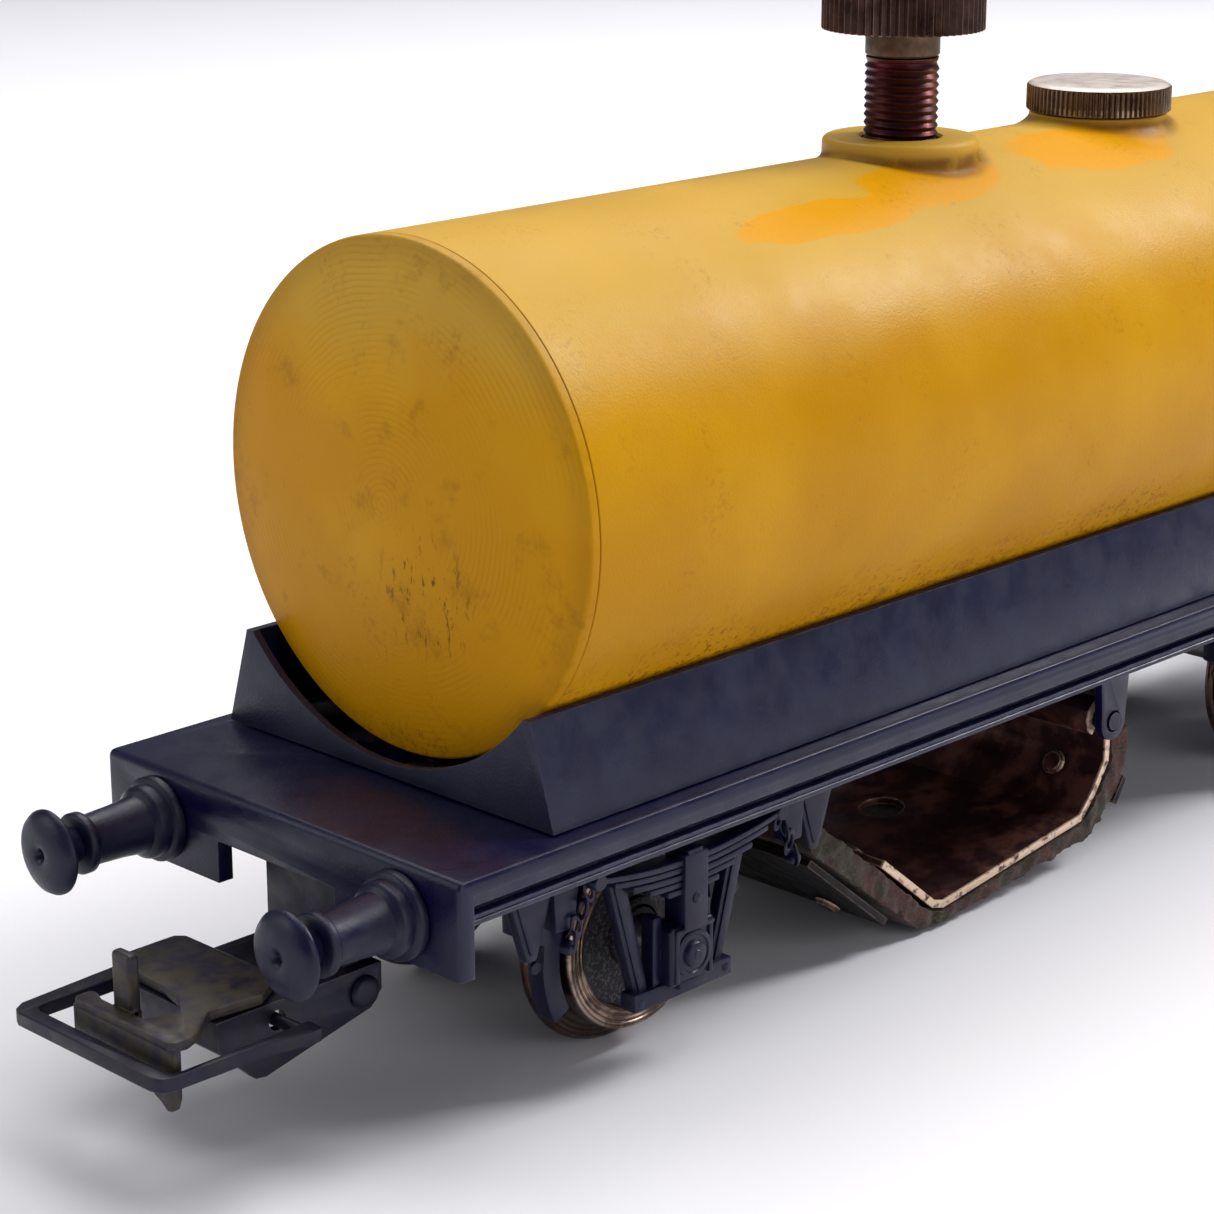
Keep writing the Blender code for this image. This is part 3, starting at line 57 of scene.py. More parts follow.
TREAD_RADIUS = 5.75
Colour = tuple[float, float, float]
Pair = tuple[float, float]


class Plane(Enum):
    """The plane that a flat outline is drawn in."""

    XY = "XY"
    XZ = "XZ"
    YZ = "YZ"

    def spot(self, first: float, second: float, height: float) -> Vector:
        """Return the point with two in-plane coordinates at a height off the plane."""
        if self is Plane.XY:
            return Vector((first, second, height))
        if self is Plane.XZ:
            return Vector((first, height, second))
        return Vector((height, first, second))


class Axis(Enum):
    """The axis that a turned piece is turned about."""

    X = (1.0, 0.0, 0.0)
    Y = (0.0, 1.0, 0.0)
    Z = (0.0, 0.0, 1.0)

    def spot(self, radius: float, height: float) -> Vector:
        """Return the point of a turning profile at a radius and a height along the axis."""
        if self is Axis.X:
            return Vector((height, radius, 0.0))
        if self is Axis.Y:
            return Vector((radius, height, 0.0))
        return Vector((radius, 0.0, height))


class Slot(Enum):
    """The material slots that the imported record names."""

    TANK = "yellow_paint"
    FRAME = "frame_black"
    MOULDED = "moulded_black"
    BRONZE = "dark_brass"
    BRASS = "bare_brass"
    NICKEL = "nickel"
    STEEL = "steel"
    COUPLER = "burnished_steel"
    INSULATOR = "insulator"
    FELT = "felt"
    FIBRE = "fibre"


def span(node: str) -> tuple[Vector, Vector]:
    """Return a CAD node's lowest and highest corners in millimetres."""
    low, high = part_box(node)
    return low / MM, high / MM


def arc(centre: Pair, radius: float, start: float, end: float, steps: int) -> list[Pair]:
    """Return points on an arc.

    Args:
        centre: The middle of the arc.
        radius: Its radius.
        start: The angle of its first point, in degrees.
        end: The angle of its last point, in degrees.
        steps: How many steps lie between them.

    Returns:
        The points, both ends included.
    """
    angles = [math.radians(start + (end - start) * i / steps) for i in range(steps + 1)]
    return [(centre[0] + radius * math.cos(a), centre[1] + radius * math.sin(a)) for a in angles]


# ---- the bench ---------------------------------------------------------------------------------
class Bench:
    """The modelling steps that all the sub-assemblies share."""

    @staticmethod
    def clear() -> None:
        """Leave edit mode and deselect everything."""
        active = bpy.context.view_layer.objects.active
        if active is not None and active.mode != "OBJECT":
            bpy.ops.object.mode_set(mode="OBJECT")
        bpy.ops.object.select_all(action="DESELECT")

    @staticmethod
    def pick(*pieces: bpy.types.Object) -> None:
        """Select only the given pieces and make the first one active."""
        Bench.clear()
        for piece in pieces:
            piece.select_set(True)
        bpy.context.view_layer.objects.active = pieces[0]

    @staticmethod
    def edit(piece: bpy.types.Object) -> None:
        """Open a piece in edit mode with all of its mesh selected."""
        Bench.pick(piece)
        bpy.ops.object.mode_set(mode="EDIT")
        bpy.ops.mesh.select_all(action="SELECT")

    @staticmethod
    def done(piece: bpy.types.Object) -> bpy.types.Object:
        """Merge an open piece's doubles, turn its faces outwards, leave edit mode and return it."""
        bpy.ops.mesh.select_all(action="SELECT")
        bpy.ops.mesh.remove_doubles(threshold=MERGE)
        bpy.ops.mesh.normals_make_consistent(inside=False)
        bpy.ops.object.mode_set(mode="OBJECT")
        return piece

    @staticmethod
    def chain(name: str, points: Sequence[Vector]) -> bpy.types.Object:
        """Draw a line of edges by extruding one vertex from point to point.

        Args:
            name: The new piece's name.
            points: The line's points.

        Returns:
            The piece, still in edit mode, with its object at the origin.
        """
        Bench.clear()
        bpy.ops.mesh.primitive_plane_add(size=1.0, location=(0.0, 0.0, 0.0))
        piece = bpy.context.object
        piece.name = piece.data.name = name
        bpy.ops.object.mode_set(mode="EDIT")
        bpy.ops.mesh.merge(type="CENTER")
        bpy.ops.transform.translate(value=points[0])
        for here, there in zip(points, points[1:]):
            bpy.ops.mesh.extrude_vertices_move(TRANSFORM_OT_translate={"value": there - here})
        bpy.ops.mesh.select_all(action="SELECT")
        return piece

    @staticmethod
    def turn(
        name: str, axis: Axis, profile: Sequence[Pair], steps: int, centre: Sequence[float] = (0.0, 0.0, 0.0)
    ) -> bpy.types.Object:
        """Spin a closed profile round an axis.

        Args:
            name: The new piece's name.
            axis: The axis that it is turned about.
            profile: (radius, distance along the axis) points; the last one joins up with the first.
            steps: How many steps make the full turn.
            centre: A point on the axis.

        Returns:
            The turned piece.
        """
        line = [axis.spot(r, h) + Vector(centre) for r, h in list(profile) + [profile[0]]]
        piece = Bench.chain(name, line)
        bpy.ops.mesh.spin(steps=steps, angle=2 * math.pi, center=centre, axis=axis.value)
        return Bench.done(piece)

    @staticmethod
    def plate(name: str, plane: Plane, outline: Sequence[Pair], low: float, high: float) -> bpy.types.Object:
        """Extrude a closed outline into a plate.

        Args:
            name: The new piece's name.
            plane: The plane of the outline.
            outline: Its corners.
            low: The height of its first face off the plane.
            high: The height of its second face.

        Returns:
            The plate.
        """
        line = [plane.spot(a, b, low) for a, b in list(outline) + [outline[0]]]
        piece = Bench.chain(name, line)
        bpy.ops.mesh.remove_doubles(threshold=MERGE)
        bpy.ops.mesh.edge_face_add()
        rise = plane.spot(0.0, 0.0, high - low)
        bpy.ops.mesh.extrude_region_move(TRANSFORM_OT_translate={"value": rise})
        return Bench.done(piece)

    @staticmethod
    def block(name: str, x: Pair, y: Pair, z: Pair) -> bpy.types.Object:
        """Return a block between the ends of three spans, to be eased or cut further."""
        Bench.clear()
        spans = (x, y, z)
        bpy.ops.mesh.primitive_cube_add(size=1.0, location=[(a + b) / 2 for a, b in spans])
        piece = bpy.context.object
        piece.name = piece.data.name = name
        piece.scale = [abs(b - a) for a, b in spans]
        bpy.ops.object.transform_apply(location=True, rotation=True, scale=True)
        return piece

    @staticmethod
    def ease(piece: bpy.types.Object, width: float, segments: int = 2,
             angle: float = 30.0) -> bpy.types.Object:
        """Round a piece's sharp edges.

        Args:
            piece: The piece.
            width: The width of the rounding.
            segments: How many faces it has.
            angle: The angle in degrees over which an edge counts as sharp.

        Returns:
            The same piece.
        """
        Bench.pick(piece)
        rounding = piece.modifiers.new("rounding", "BEVEL")
        rounding.width = width
        rounding.segments = segments
        rounding.limit_method = "ANGLE"
        rounding.angle_limit = math.radians(angle)
        rounding.use_clamp_overlap = True
        bpy.ops.object.modifier_apply(modifier=rounding.name)
        return piece

    @staticmethod
    def carve(piece: bpy.types.Object, tools: Sequence[bpy.types.Object]) -> bpy.types.Object:
        """Cut tools out of a piece, delete the tools and return the piece."""
        for tool in tools:
            Bench.pick(piece)
            step = piece.modifiers.new("step", "BOOLEAN")
            step.operation = "DIFFERENCE"
            step.solver = "EXACT"
            step.object = tool
            bpy.ops.object.modifier_apply(modifier=step.name)
            bpy.data.objects.remove(tool)
        return piece

    @staticmethod
    def join(name: str, *pieces: bpy.types.Object) -> bpy.types.Object:
        """Join pieces into one object with the given name."""
        Bench.pick(*pieces)
        bpy.ops.object.join()
        pieces[0].name = pieces[0].data.name = name
        return pieces[0]

    @staticmethod
    def copy(piece: bpy.types.Object, name: str, move: Matrix) -> bpy.types.Object:
        """Return a copy of a piece with its own mesh, put in another place.

        Args:
            piece: The piece to copy.
            name: The copy's name.
            move: Where it goes.

        Returns:
            The copy, with its object back at the origin.
        """
        twin = bpy.data.objects.new(name, piece.data.copy())
        bpy.context.scene.collection.objects.link(twin)
        twin.data.name = name
        twin.matrix_world = move
        Bench.pick(twin)
        bpy.ops.object.transform_apply(location=True, rotation=True, scale=True)
        return twin

    @staticmethod
    def from_node(node: str, name: str) -> bpy.types.Object:
        """Return a merged copy of a CAD node in millimetres, with flat areas made whole again."""
        piece = bpy.data.objects.new(name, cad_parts[node].data.copy())
        bpy.context.scene.collection.objects.link(piece)
        piece.data.materials.clear()
        piece.scale = (1 / MM, 1 / MM, 1 / MM)
        Bench.pick(piece)
        bpy.ops.object.transform_apply(location=True, rotation=True, scale=True)
        Bench.edit(piece)
        bpy.ops.mesh.remove_doubles(threshold=NODE_MERGE)
        bpy.ops.mesh.customdata_custom_splitnormals_clear()
        bpy.ops.mesh.dissolve_limited(angle_limit=math.radians(FLAT_ANGLE))
        return Bench.done(piece)

    @staticmethod
    def reshape(piece: bpy.types.Object, rule: Callable[[Vector], Vector]) -> bpy.types.Object:
        """Move each vertex of a piece by a rule, and return the piece."""
        for vertex in piece.data.vertices:
            vertex.co = rule(vertex.co)
        piece.data.update()
        return piece


HALF_TURN = Matrix.Rotation(math.pi, 4, "Z")


# ---- the node board ----------------------------------------------------------------------------
class Board:
    """Writes the nodes of one Principled material; lengths are in millimetres."""

    def __init__(self, name: str) -> None:
        """Start a material with its coordinates in millimetres."""
        self.material = bpy.data.materials.new(name)
        self.material.use_nodes = True
        self.nodes = self.material.node_tree.nodes
        self.links = self.material.node_tree.links
        self.shader = self.nodes["Principled BSDF"]
        place = self.nodes.new("ShaderNodeTexCoord").outputs["Object"]
        scale = self.nodes.new("ShaderNodeVectorMath")
        scale.operation = "SCALE"
        scale.inputs["Scale"].default_value = 1 / MM
        self.links.new(place, scale.inputs[0])
        self.place = scale.outputs[0]
        parts = self.nodes.new("ShaderNodeSeparateXYZ")
        self.links.new(self.place, parts.inputs[0])
        self.x, self.y, self.z = parts.outputs

    def feed(self, socket: bpy.types.NodeSocket, value: object) -> None:
        """Set a socket to a number or colour, or link another socket to it."""
        if isinstance(value, bpy.types.NodeSocket):
            self.links.new(value, socket)
        elif isinstance(value, tuple) and len(value) == 3 and socket.type == "RGBA":
            socket.default_value = (*value, 1.0)
        else:
            socket.default_value = value

    def sum(self, operation: str, *values: object, clamp: bool = False) -> bpy.types.NodeSocket:
        """Return the result of one Math node."""
        node = self.nodes.new("ShaderNodeMath")
        node.operation = operation
        node.use_clamp = clamp
        for socket, value in zip(node.inputs, values):
            self.feed(socket, value)
        return node.outputs[0]

    def stretched(self, scale: Colour) -> bpy.types.NodeSocket:
        """Return the coordinates scaled along each axis."""
        node = self.nodes.new("ShaderNodeMapping")
        node.inputs["Scale"].default_value = scale
        self.links.new(self.place, node.inputs["Vector"])
        return node.outputs[0]

    def grain(
        self, size: float, detail: float = 3.0, rough: float = 0.55, place: bpy.types.NodeSocket | None = None
    ) -> bpy.types.NodeSocket:
        """Return noise with features of about the given size.

        Args:
            size: The size of its features.
            detail: How many finer layers it has.
            rough: How strong the finer layers are.
            place: The coordinates, when they aren't the plain ones.

        Returns:
            The noise value, about 0 to 1.
        """
        node = self.nodes.new("ShaderNodeTexNoise")
        node.inputs["Scale"].default_value = 1 / size
        node.inputs["Detail"].default_value = detail
        node.inputs["Roughness"].default_value = rough
        self.links.new(place or self.place, node.inputs["Vector"])
        return node.outputs["Fac"]

    def step(self, value: object, low: float, high: float, out: Pair = (0.0, 1.0)) -> bpy.types.NodeSocket:
        """Return a smooth step from low to high, which may run downwards."""
        node = self.nodes.new("ShaderNodeMapRange")
        node.interpolation_type = "SMOOTHSTEP"
        ends = (low, high, *out) if low < high else (high, low, out[1], out[0])
        self.feed(node.inputs["Value"], value)
        for name, number in zip(("From Min", "From Max", "To Min", "To Max"), ends):
            node.inputs[name].default_value = number
        return node.outputs["Result"]

    def mix(self, share: object, first: object, second: object) -> bpy.types.NodeSocket:
        """Return a colour between two others."""
        node = self.nodes.new("ShaderNodeMix")
        node.data_type = "RGBA"
        self.feed(node.inputs[0], share)
        self.feed(node.inputs[6], first)
        self.feed(node.inputs[7], second)
        return node.outputs[2]

    def distance(self, *parts: object) -> bpy.types.NodeSocket:
        """Return the length of the vector with the two given parts."""
        squares = [self.sum("MULTIPLY", part, part) for part in parts]
        return self.sum("SQRT", self.sum("ADD", *squares))

    def upward(self) -> bpy.types.NodeSocket:
        """Return how far a surface faces up, from -1 to 1."""
        node = self.nodes.new("ShaderNodeNewGeometry")
        parts = self.nodes.new("ShaderNodeSeparateXYZ")
        self.links.new(node.outputs["Normal"], parts.inputs[0])
        return parts.outputs[2]

    def edges(self, radius: float, low: float = 0.02, high: float = 0.25) -> bpy.types.NodeSocket:
        """Return 1 on outer and inner edges within a radius, and 0 on flat areas."""
        bevel = self.nodes.new("ShaderNodeBevel")
        bevel.samples = 6
        bevel.inputs["Radius"].default_value = radius * MM
        plain = self.nodes.new("ShaderNodeNewGeometry")
        dot = self.nodes.new("ShaderNodeVectorMath")
        dot.operation = "DOT_PRODUCT"
        self.links.new(bevel.outputs["Normal"], dot.inputs[0])
        self.links.new(plain.outputs["Normal"], dot.inputs[1])
        return self.step(self.sum("SUBTRACT", 1.0, dot.outputs["Value"]), low, high)

    def bump(self, height: object, depth: float, strength: float = 1.0) -> None:
        """Add a bump of the given depth on top of those already there."""
        node = self.nodes.new("ShaderNodeBump")
        node.inputs["Strength"].default_value = strength
        node.inputs["Distance"].default_value = depth * MM
        self.feed(node.inputs["Height"], height)
        socket = self.shader.inputs["Normal"]
        if socket.is_linked:
            self.links.new(socket.links[0].from_socket, node.inputs["Normal"])
        self.links.new(node.outputs["Normal"], socket)

    def give(self, **values: object) -> bpy.types.Material:
        """Set the shader's sockets, named with underscores, and return the material."""
        for name, value in values.items():
            self.feed(self.shader.inputs[name.replace("_", " ")], value)
        return self.material


# ---- finishes ------------------------------------------------------------------------------------
@dataclass(frozen=True)
class TankPaint:
    """Ochre-yellow satin paint with a fine grain and dirt, with painted reflections of the valve and cap,
    painted shade on the boss and neck walls, and a top made paler by dust and a painted highlight.
    """

    name: str
    base: Colour = (0.58, 0.262, 0.002)
    bright: Colour = (0.67, 0.335, 0.006)
    orange: Colour = (0.63, 0.275, 0.0002)
    brown: Colour = (0.125, 0.042, 0.003)
    dust_and_sheen: Colour = (0.55, 0.345, 0.060)
    painted_reflections: tuple[tuple[float, float, float, float], ...] = ()
    collars: tuple[Pair, ...] = ()
    turned_about: float | None = None
    floor_line: float = 22.6

    def make(self) -> bpy.types.Material:
        """Return the paint's material."""
        board = Board(self.name)
        wander = board.grain(7.0, 4.0)
        colour = board.mix(board.step(board.grain(16.0, 3.0), 0.35, 0.7), self.base, self.bright)
        low = board.step(board.sum("ADD", board.z, board.sum("MULTIPLY", wander, 6.0)), 31.0, 24.0)
        colour = board.mix(board.sum("MULTIPLY", low, 0.30), colour, self.orange)
        # The top of the barrel turns paler: partly dust, partly a painted highlight.
        top_dust_and_sheen = board.step(board.sum("ADD", board.z, board.sum("MULTIPLY", wander, 6.0)), 40.5, 47.0)
        colour = board.mix(board.sum("MULTIPLY", top_dust_and_sheen, 0.65), colour, self.dust_and_sheen)
        plain = colour
        ragged = board.sum("ADD", board.sum("MULTIPLY", wander, 0.75),
                           board.sum("MULTIPLY", board.grain(2.2, 4.0), 0.45))
        # Painted reflections of the valve and the filler cap: ragged orange ellipses on the barrel beside them.
        for x, y, length, width in self.painted_reflections:
            along = board.sum("DIVIDE", board.sum("SUBTRACT", board.x, x), length)
            off = board.distance(along, board.sum("DIVIDE", board.sum("SUBTRACT", board.y, y), width))
            reflection_mask = board.step(board.sum("ADD", off, ragged), 1.66, 1.50)
            colour = board.mix(board.sum("MULTIPLY", reflection_mask, 0.95), colour, self.orange)
        for x, radius in self.collars:
            off = board.distance(board.sum("SUBTRACT", board.x, x), board.y)
            colour = board.mix(board.step(off, radius + 0.12, radius - 0.02), colour, plain)
            # Brown painted shade on the walls and feet of the boss and the neck, broken up by noise.
            ring = board.sum("MULTIPLY", board.step(off, radius + 1.1, radius),
                             board.step(board.z, 47.3, 46.55))
            streaks = board.step(board.grain(1.8, 4.0, 0.65), 0.25, 0.60, (0.45, 0.85))
            colour = board.mix(board.sum("MULTIPLY", ring, streaks), colour, self.brown)
        specks = board.step(board.grain(0.40, 4.0, 0.7), 0.53, 0.61)
        dirty = board.step(board.sum("ADD", board.z, board.sum("MULTIPLY", wander, 9.0)),
                           self.floor_line + 9.0, self.floor_line + 2.5)
        patches = board.step(board.grain(4.5, 3.0, 0.6), 0.54, 0.68)
        spots = board.sum("MULTIPLY", specks,
                          board.sum("MAXIMUM", dirty, board.sum("MULTIPLY", patches, 0.22)))
        colour = board.mix(board.sum("MULTIPLY", spots, 0.9), colour, self.brown)
        smear = board.sum("MULTIPLY", board.step(board.grain(2.6, 5.0, 0.7), 0.50, 0.72), dirty)
        colour = board.mix(board.sum("MULTIPLY", smear, 0.55), colour, self.brown)
        if self.turned_about is not None:
            colour = self.turning_marks(board, colour)
        board.bump(board.grain(0.16, 2.0, 0.6), 0.030, 0.6)
        board.bump(board.grain(0.9, 2.0), 0.02, 0.5)
        rough = board.step(board.grain(5.0, 3.0), 0.3, 0.7, (0.30, 0.44))
        return board.give(Base_Color=colour, Roughness=rough, Specular_IOR_Level=0.08)

    def turning_marks(self, board: Board, colour: bpy.types.NodeSocket) -> bpy.types.NodeSocket:
        """Add the fine rings, the rubbed patches, a scuffed patch and the painted shade that darkens a turned
        tank end towards its rim.

        Args:
            board: The material's board.
            colour: The paint's colour so far.

        Returns:
            The colour with the marks on it.
        """
        height = board.sum("SUBTRACT", board.z, self.turned_about)
        radius = board.distance(board.y, height)
        waver = board.sum("MULTIPLY", board.grain(5.0, 2.0), 0.8)
        rings = board.sum("SINE", board.sum("MULTIPLY", board.sum("ADD", radius, waver), 17.0))
        shown = board.step(board.grain(6.0, 3.0), 0.42, 0.66)
        lines = board.sum("MULTIPLY", board.step(rings, 0.2, 1.0), shown)
        colour = board.mix(board.sum("MULTIPLY", lines, 0.13), colour, self.brown)
        board.bump(board.sum("MULTIPLY", rings, shown), 0.006, 0.5)
        rub = board.step(board.grain(3.4, 5.0, 0.7), 0.53, 0.70)
        colour = board.mix(board.sum("MULTIPLY", rub, 0.30), colour, self.brown)
        scratches = board.step(board.grain(0.8, 4.0, 0.7, board.stretched((1.0, 1.6, 0.5))), 0.55, 0.63)
        patch = board.distance(board.sum("SUBTRACT", board.y, 3.2), board.sum("ADD", height, 4.6))
        scuffed = board.sum("MULTIPLY", scratches, board.step(patch, 4.6, 1.8))
        colour = board.mix(board.sum("MULTIPLY", scuffed, 0.85), colour, self.brown)
        # Painted shade: the end grows darker towards its rim.
        shade = board.step(radius, 12.6, 14.5)
        return board.mix(board.sum("MULTIPLY", shade, 0.22), colour, self.brown)


@dataclass(frozen=True)
class BlackEnamel:
    """Blue-black paint or moulding with pale edges, partly wear and partly painted highlight, and a little
    dust.
    """

    name: str
    base: Colour = (0.0012, 0.0010, 0.0240)
    second: Colour = (0.0032, 0.0029, 0.0320)
    edge_tint: Colour = (0.15, 0.145, 0.19)
    dust: Colour = (0.07, 0.055, 0.05)
    roughness: Pair = (0.28, 0.42)
    edge: float = 0.20
    edge_strength: float = 0.85
    dusting: float = 0.5

    def make(self) -> bpy.types.Material:
        """Return the enamel's material."""
        board = Board(self.name)
        colour = board.mix(board.step(board.grain(3.0, 4.0), 0.35, 0.65), self.base, self.second)
        broken = board.step(board.grain(1.1, 5.0, 0.7), 0.40, 0.62)
        edges = board.sum("MULTIPLY", board.edges(self.edge), broken)
        # Pale edges, broken by noise: partly wear, partly painted highlight.
        colour = board.mix(board.sum("MULTIPLY", edges, self.edge_strength), colour, self.edge_tint)
        specks = board.step(board.grain(0.30, 4.0, 0.7), 0.64, 0.74)
        settled = board.sum("MULTIPLY", specks, board.step(board.upward(), 0.2, 0.9))
        colour = board.mix(board.sum("MULTIPLY", settled, self.dusting), colour, self.dust)
        board.bump(board.grain(0.20, 3.0, 0.65), 0.022, 0.7)
        board.bump(board.grain(1.4, 2.0), 0.02, 0.35)
        rough = board.step(board.grain(1.8, 4.0), 0.3, 0.7, self.roughness)
        return board.give(Base_Color=colour, Roughness=rough, Specular_IOR_Level=0.36)


@dataclass(frozen=True)
class Metal:
    """A metal with patches of patina, dark spots and edges brightened by wear."""

    name: str
    base: Colour
    patina: Colour
    edge_tint: Colour
    spots: Colour
    metallic: float = 0.85
    roughness: Pair = (0.30, 0.50)
    edge: float = 0.15
    edge_strength: float = 0.8
    patina_size: float = 2.4
    patina_reach: Pair = (0.38, 0.62)
    spot_reach: Pair = (0.62, 0.72)
    top: Colour | None = None
    cut_beyond: float | None = None

    def make(self) -> bpy.types.Material:
        """Return the metal's material."""
        board = Board(self.name)
        patina = board.step(board.grain(self.patina_size, 5.0, 0.62), *self.patina_reach)
        colour = board.mix(patina, self.base, self.patina)
        spots = board.step(board.grain(0.5, 5.0, 0.72), *self.spot_reach)
        colour = board.mix(board.sum("MULTIPLY", spots, 0.8), colour, self.spots)
        edges = board.sum("MULTIPLY", board.edges(self.edge), board.step(board.grain(0.9, 4.0), 0.32, 0.55))
        colour = board.mix(board.sum("MULTIPLY", edges, self.edge_strength), colour, self.edge_tint)
        if self.cut_beyond is not None:
            cut = board.step(board.sum("ABSOLUTE", board.y), self.cut_beyond, self.cut_beyond + 0.12)
            rubbed = board.step(board.grain(0.7, 4.0, 0.6), 0.34, 0.50)
            colour = board.mix(board.sum("MULTIPLY", cut, rubbed), colour, self.edge_tint)
        # Upward faces turn paler: a painted highlight.
        if self.top is not None:
            colour = board.mix(board.step(board.upward(), 0.7, 0.97, (0.0, 0.85)), colour, self.top)
        board.bump(board.grain(0.3, 4.0, 0.6), 0.012, 0.6)
        rough = board.step(board.grain(1.2, 4.0), 0.3, 0.7, self.roughness)
        return board.give(Base_Color=colour, Roughness=rough, Metallic=self.metallic)


@dataclass(frozen=True)
class WheelMetal:
    """Turned wheel metal: bright rings on the rim, a brown tread and a speckled recessed web."""

    name: str
    axle_x: float
    axle_z: float
    bright: Colour = (0.42, 0.31, 0.24)
    brown: Colour = (0.050, 0.026, 0.024)
    speckled: Colour = (0.085, 0.078, 0.080)
    tread: float = TREAD_RADIUS
    web: float = 4.5

    def make(self) -> bpy.types.Material:
        """Return the wheel's material."""
        board = Board(self.name)
        along = board.sum("SUBTRACT", board.sum("ABSOLUTE", board.x), self.axle_x)
        radius = board.distance(along, board.sum("SUBTRACT", board.z, self.axle_z))
        rings = board.sum("SINE", board.sum("MULTIPLY", radius, 21.0))
        stain = board.step(board.grain(1.3, 4.0, 0.65), 0.42, 0.62)
        colour = board.mix(board.sum("MULTIPLY", stain, 0.75), self.bright, self.brown)
        colour = board.mix(board.step(rings, -0.1, 0.7, (0.0, 0.75)), colour, self.brown)
        specks = board.step(board.grain(0.18, 3.0, 0.7), 0.5, 0.6)
        web = board.mix(specks, (0.016, 0.014, 0.018), self.speckled)
        colour = board.mix(board.step(radius, self.web, self.web - 0.2), colour, web)
        colour = board.mix(board.step(radius, self.tread - 0.05, self.tread + 0.1, (0.0, 0.75)), colour,
                           self.brown)
        board.bump(rings, 0.012, 0.6)
        rough = board.step(radius, self.web, self.web - 0.2, (0.28, 0.55))
        metal = board.step(radius, self.web, self.web - 0.2, (0.95, 0.6))
        return board.give(Base_Color=colour, Roughness=rough, Metallic=metal)


@dataclass(frozen=True)
class FeltWool:
    """Pressed felt, grey-green where it is clean and red-brown where it is soaked."""

    name: str
    wool: Colour = (0.034, 0.026, 0.012)
    soaked: Colour = (0.060, 0.014, 0.010)
    dark: Colour = (0.008, 0.006, 0.005)
    fluff: Colour = (0.30, 0.17, 0.10)

    def make(self) -> bpy.types.Material:
        """Return the felt's material."""
        board = Board(self.name)
        soak = board.step(board.grain(3.5, 5.0, 0.65), 0.42, 0.60)
        colour = board.mix(soak, self.wool, self.soaked)
        colour = board.mix(board.step(board.grain(1.0, 4.0, 0.7), 0.45, 0.68), colour, self.dark)
        fibres = board.grain(0.35, 4.0, 0.8, board.stretched((1.0, 0.35, 2.2)))
        colour = board.mix(board.step(fibres, 0.57, 0.72, (0.0, 0.55)), colour, self.fluff)
        board.bump(fibres, 0.10, 0.9)
        board.bump(board.grain(0.8, 4.0, 0.75), 0.12, 0.8)
        return board.give(Base_Color=colour, Roughness=0.95, Sheen_Weight=0.10, Sheen_Roughness=0.6)


@dataclass(frozen=True)
class Plain:
    """A simple material with mottled colour and fine grain, for washers and bushes."""

    name: str
    base: Colour
    second: Colour
    roughness: float = 0.7
    size: float = 0.5

    def make(self) -> bpy.types.Material:
        """Return the material."""
        board = Board(self.name)
        colour = board.mix(board.step(board.grain(self.size, 4.0, 0.65), 0.38, 0.62), self.base, self.second)
        board.bump(board.grain(self.size / 3, 3.0), 0.02, 0.6)
        return board.give(Base_Color=colour, Roughness=self.roughness)


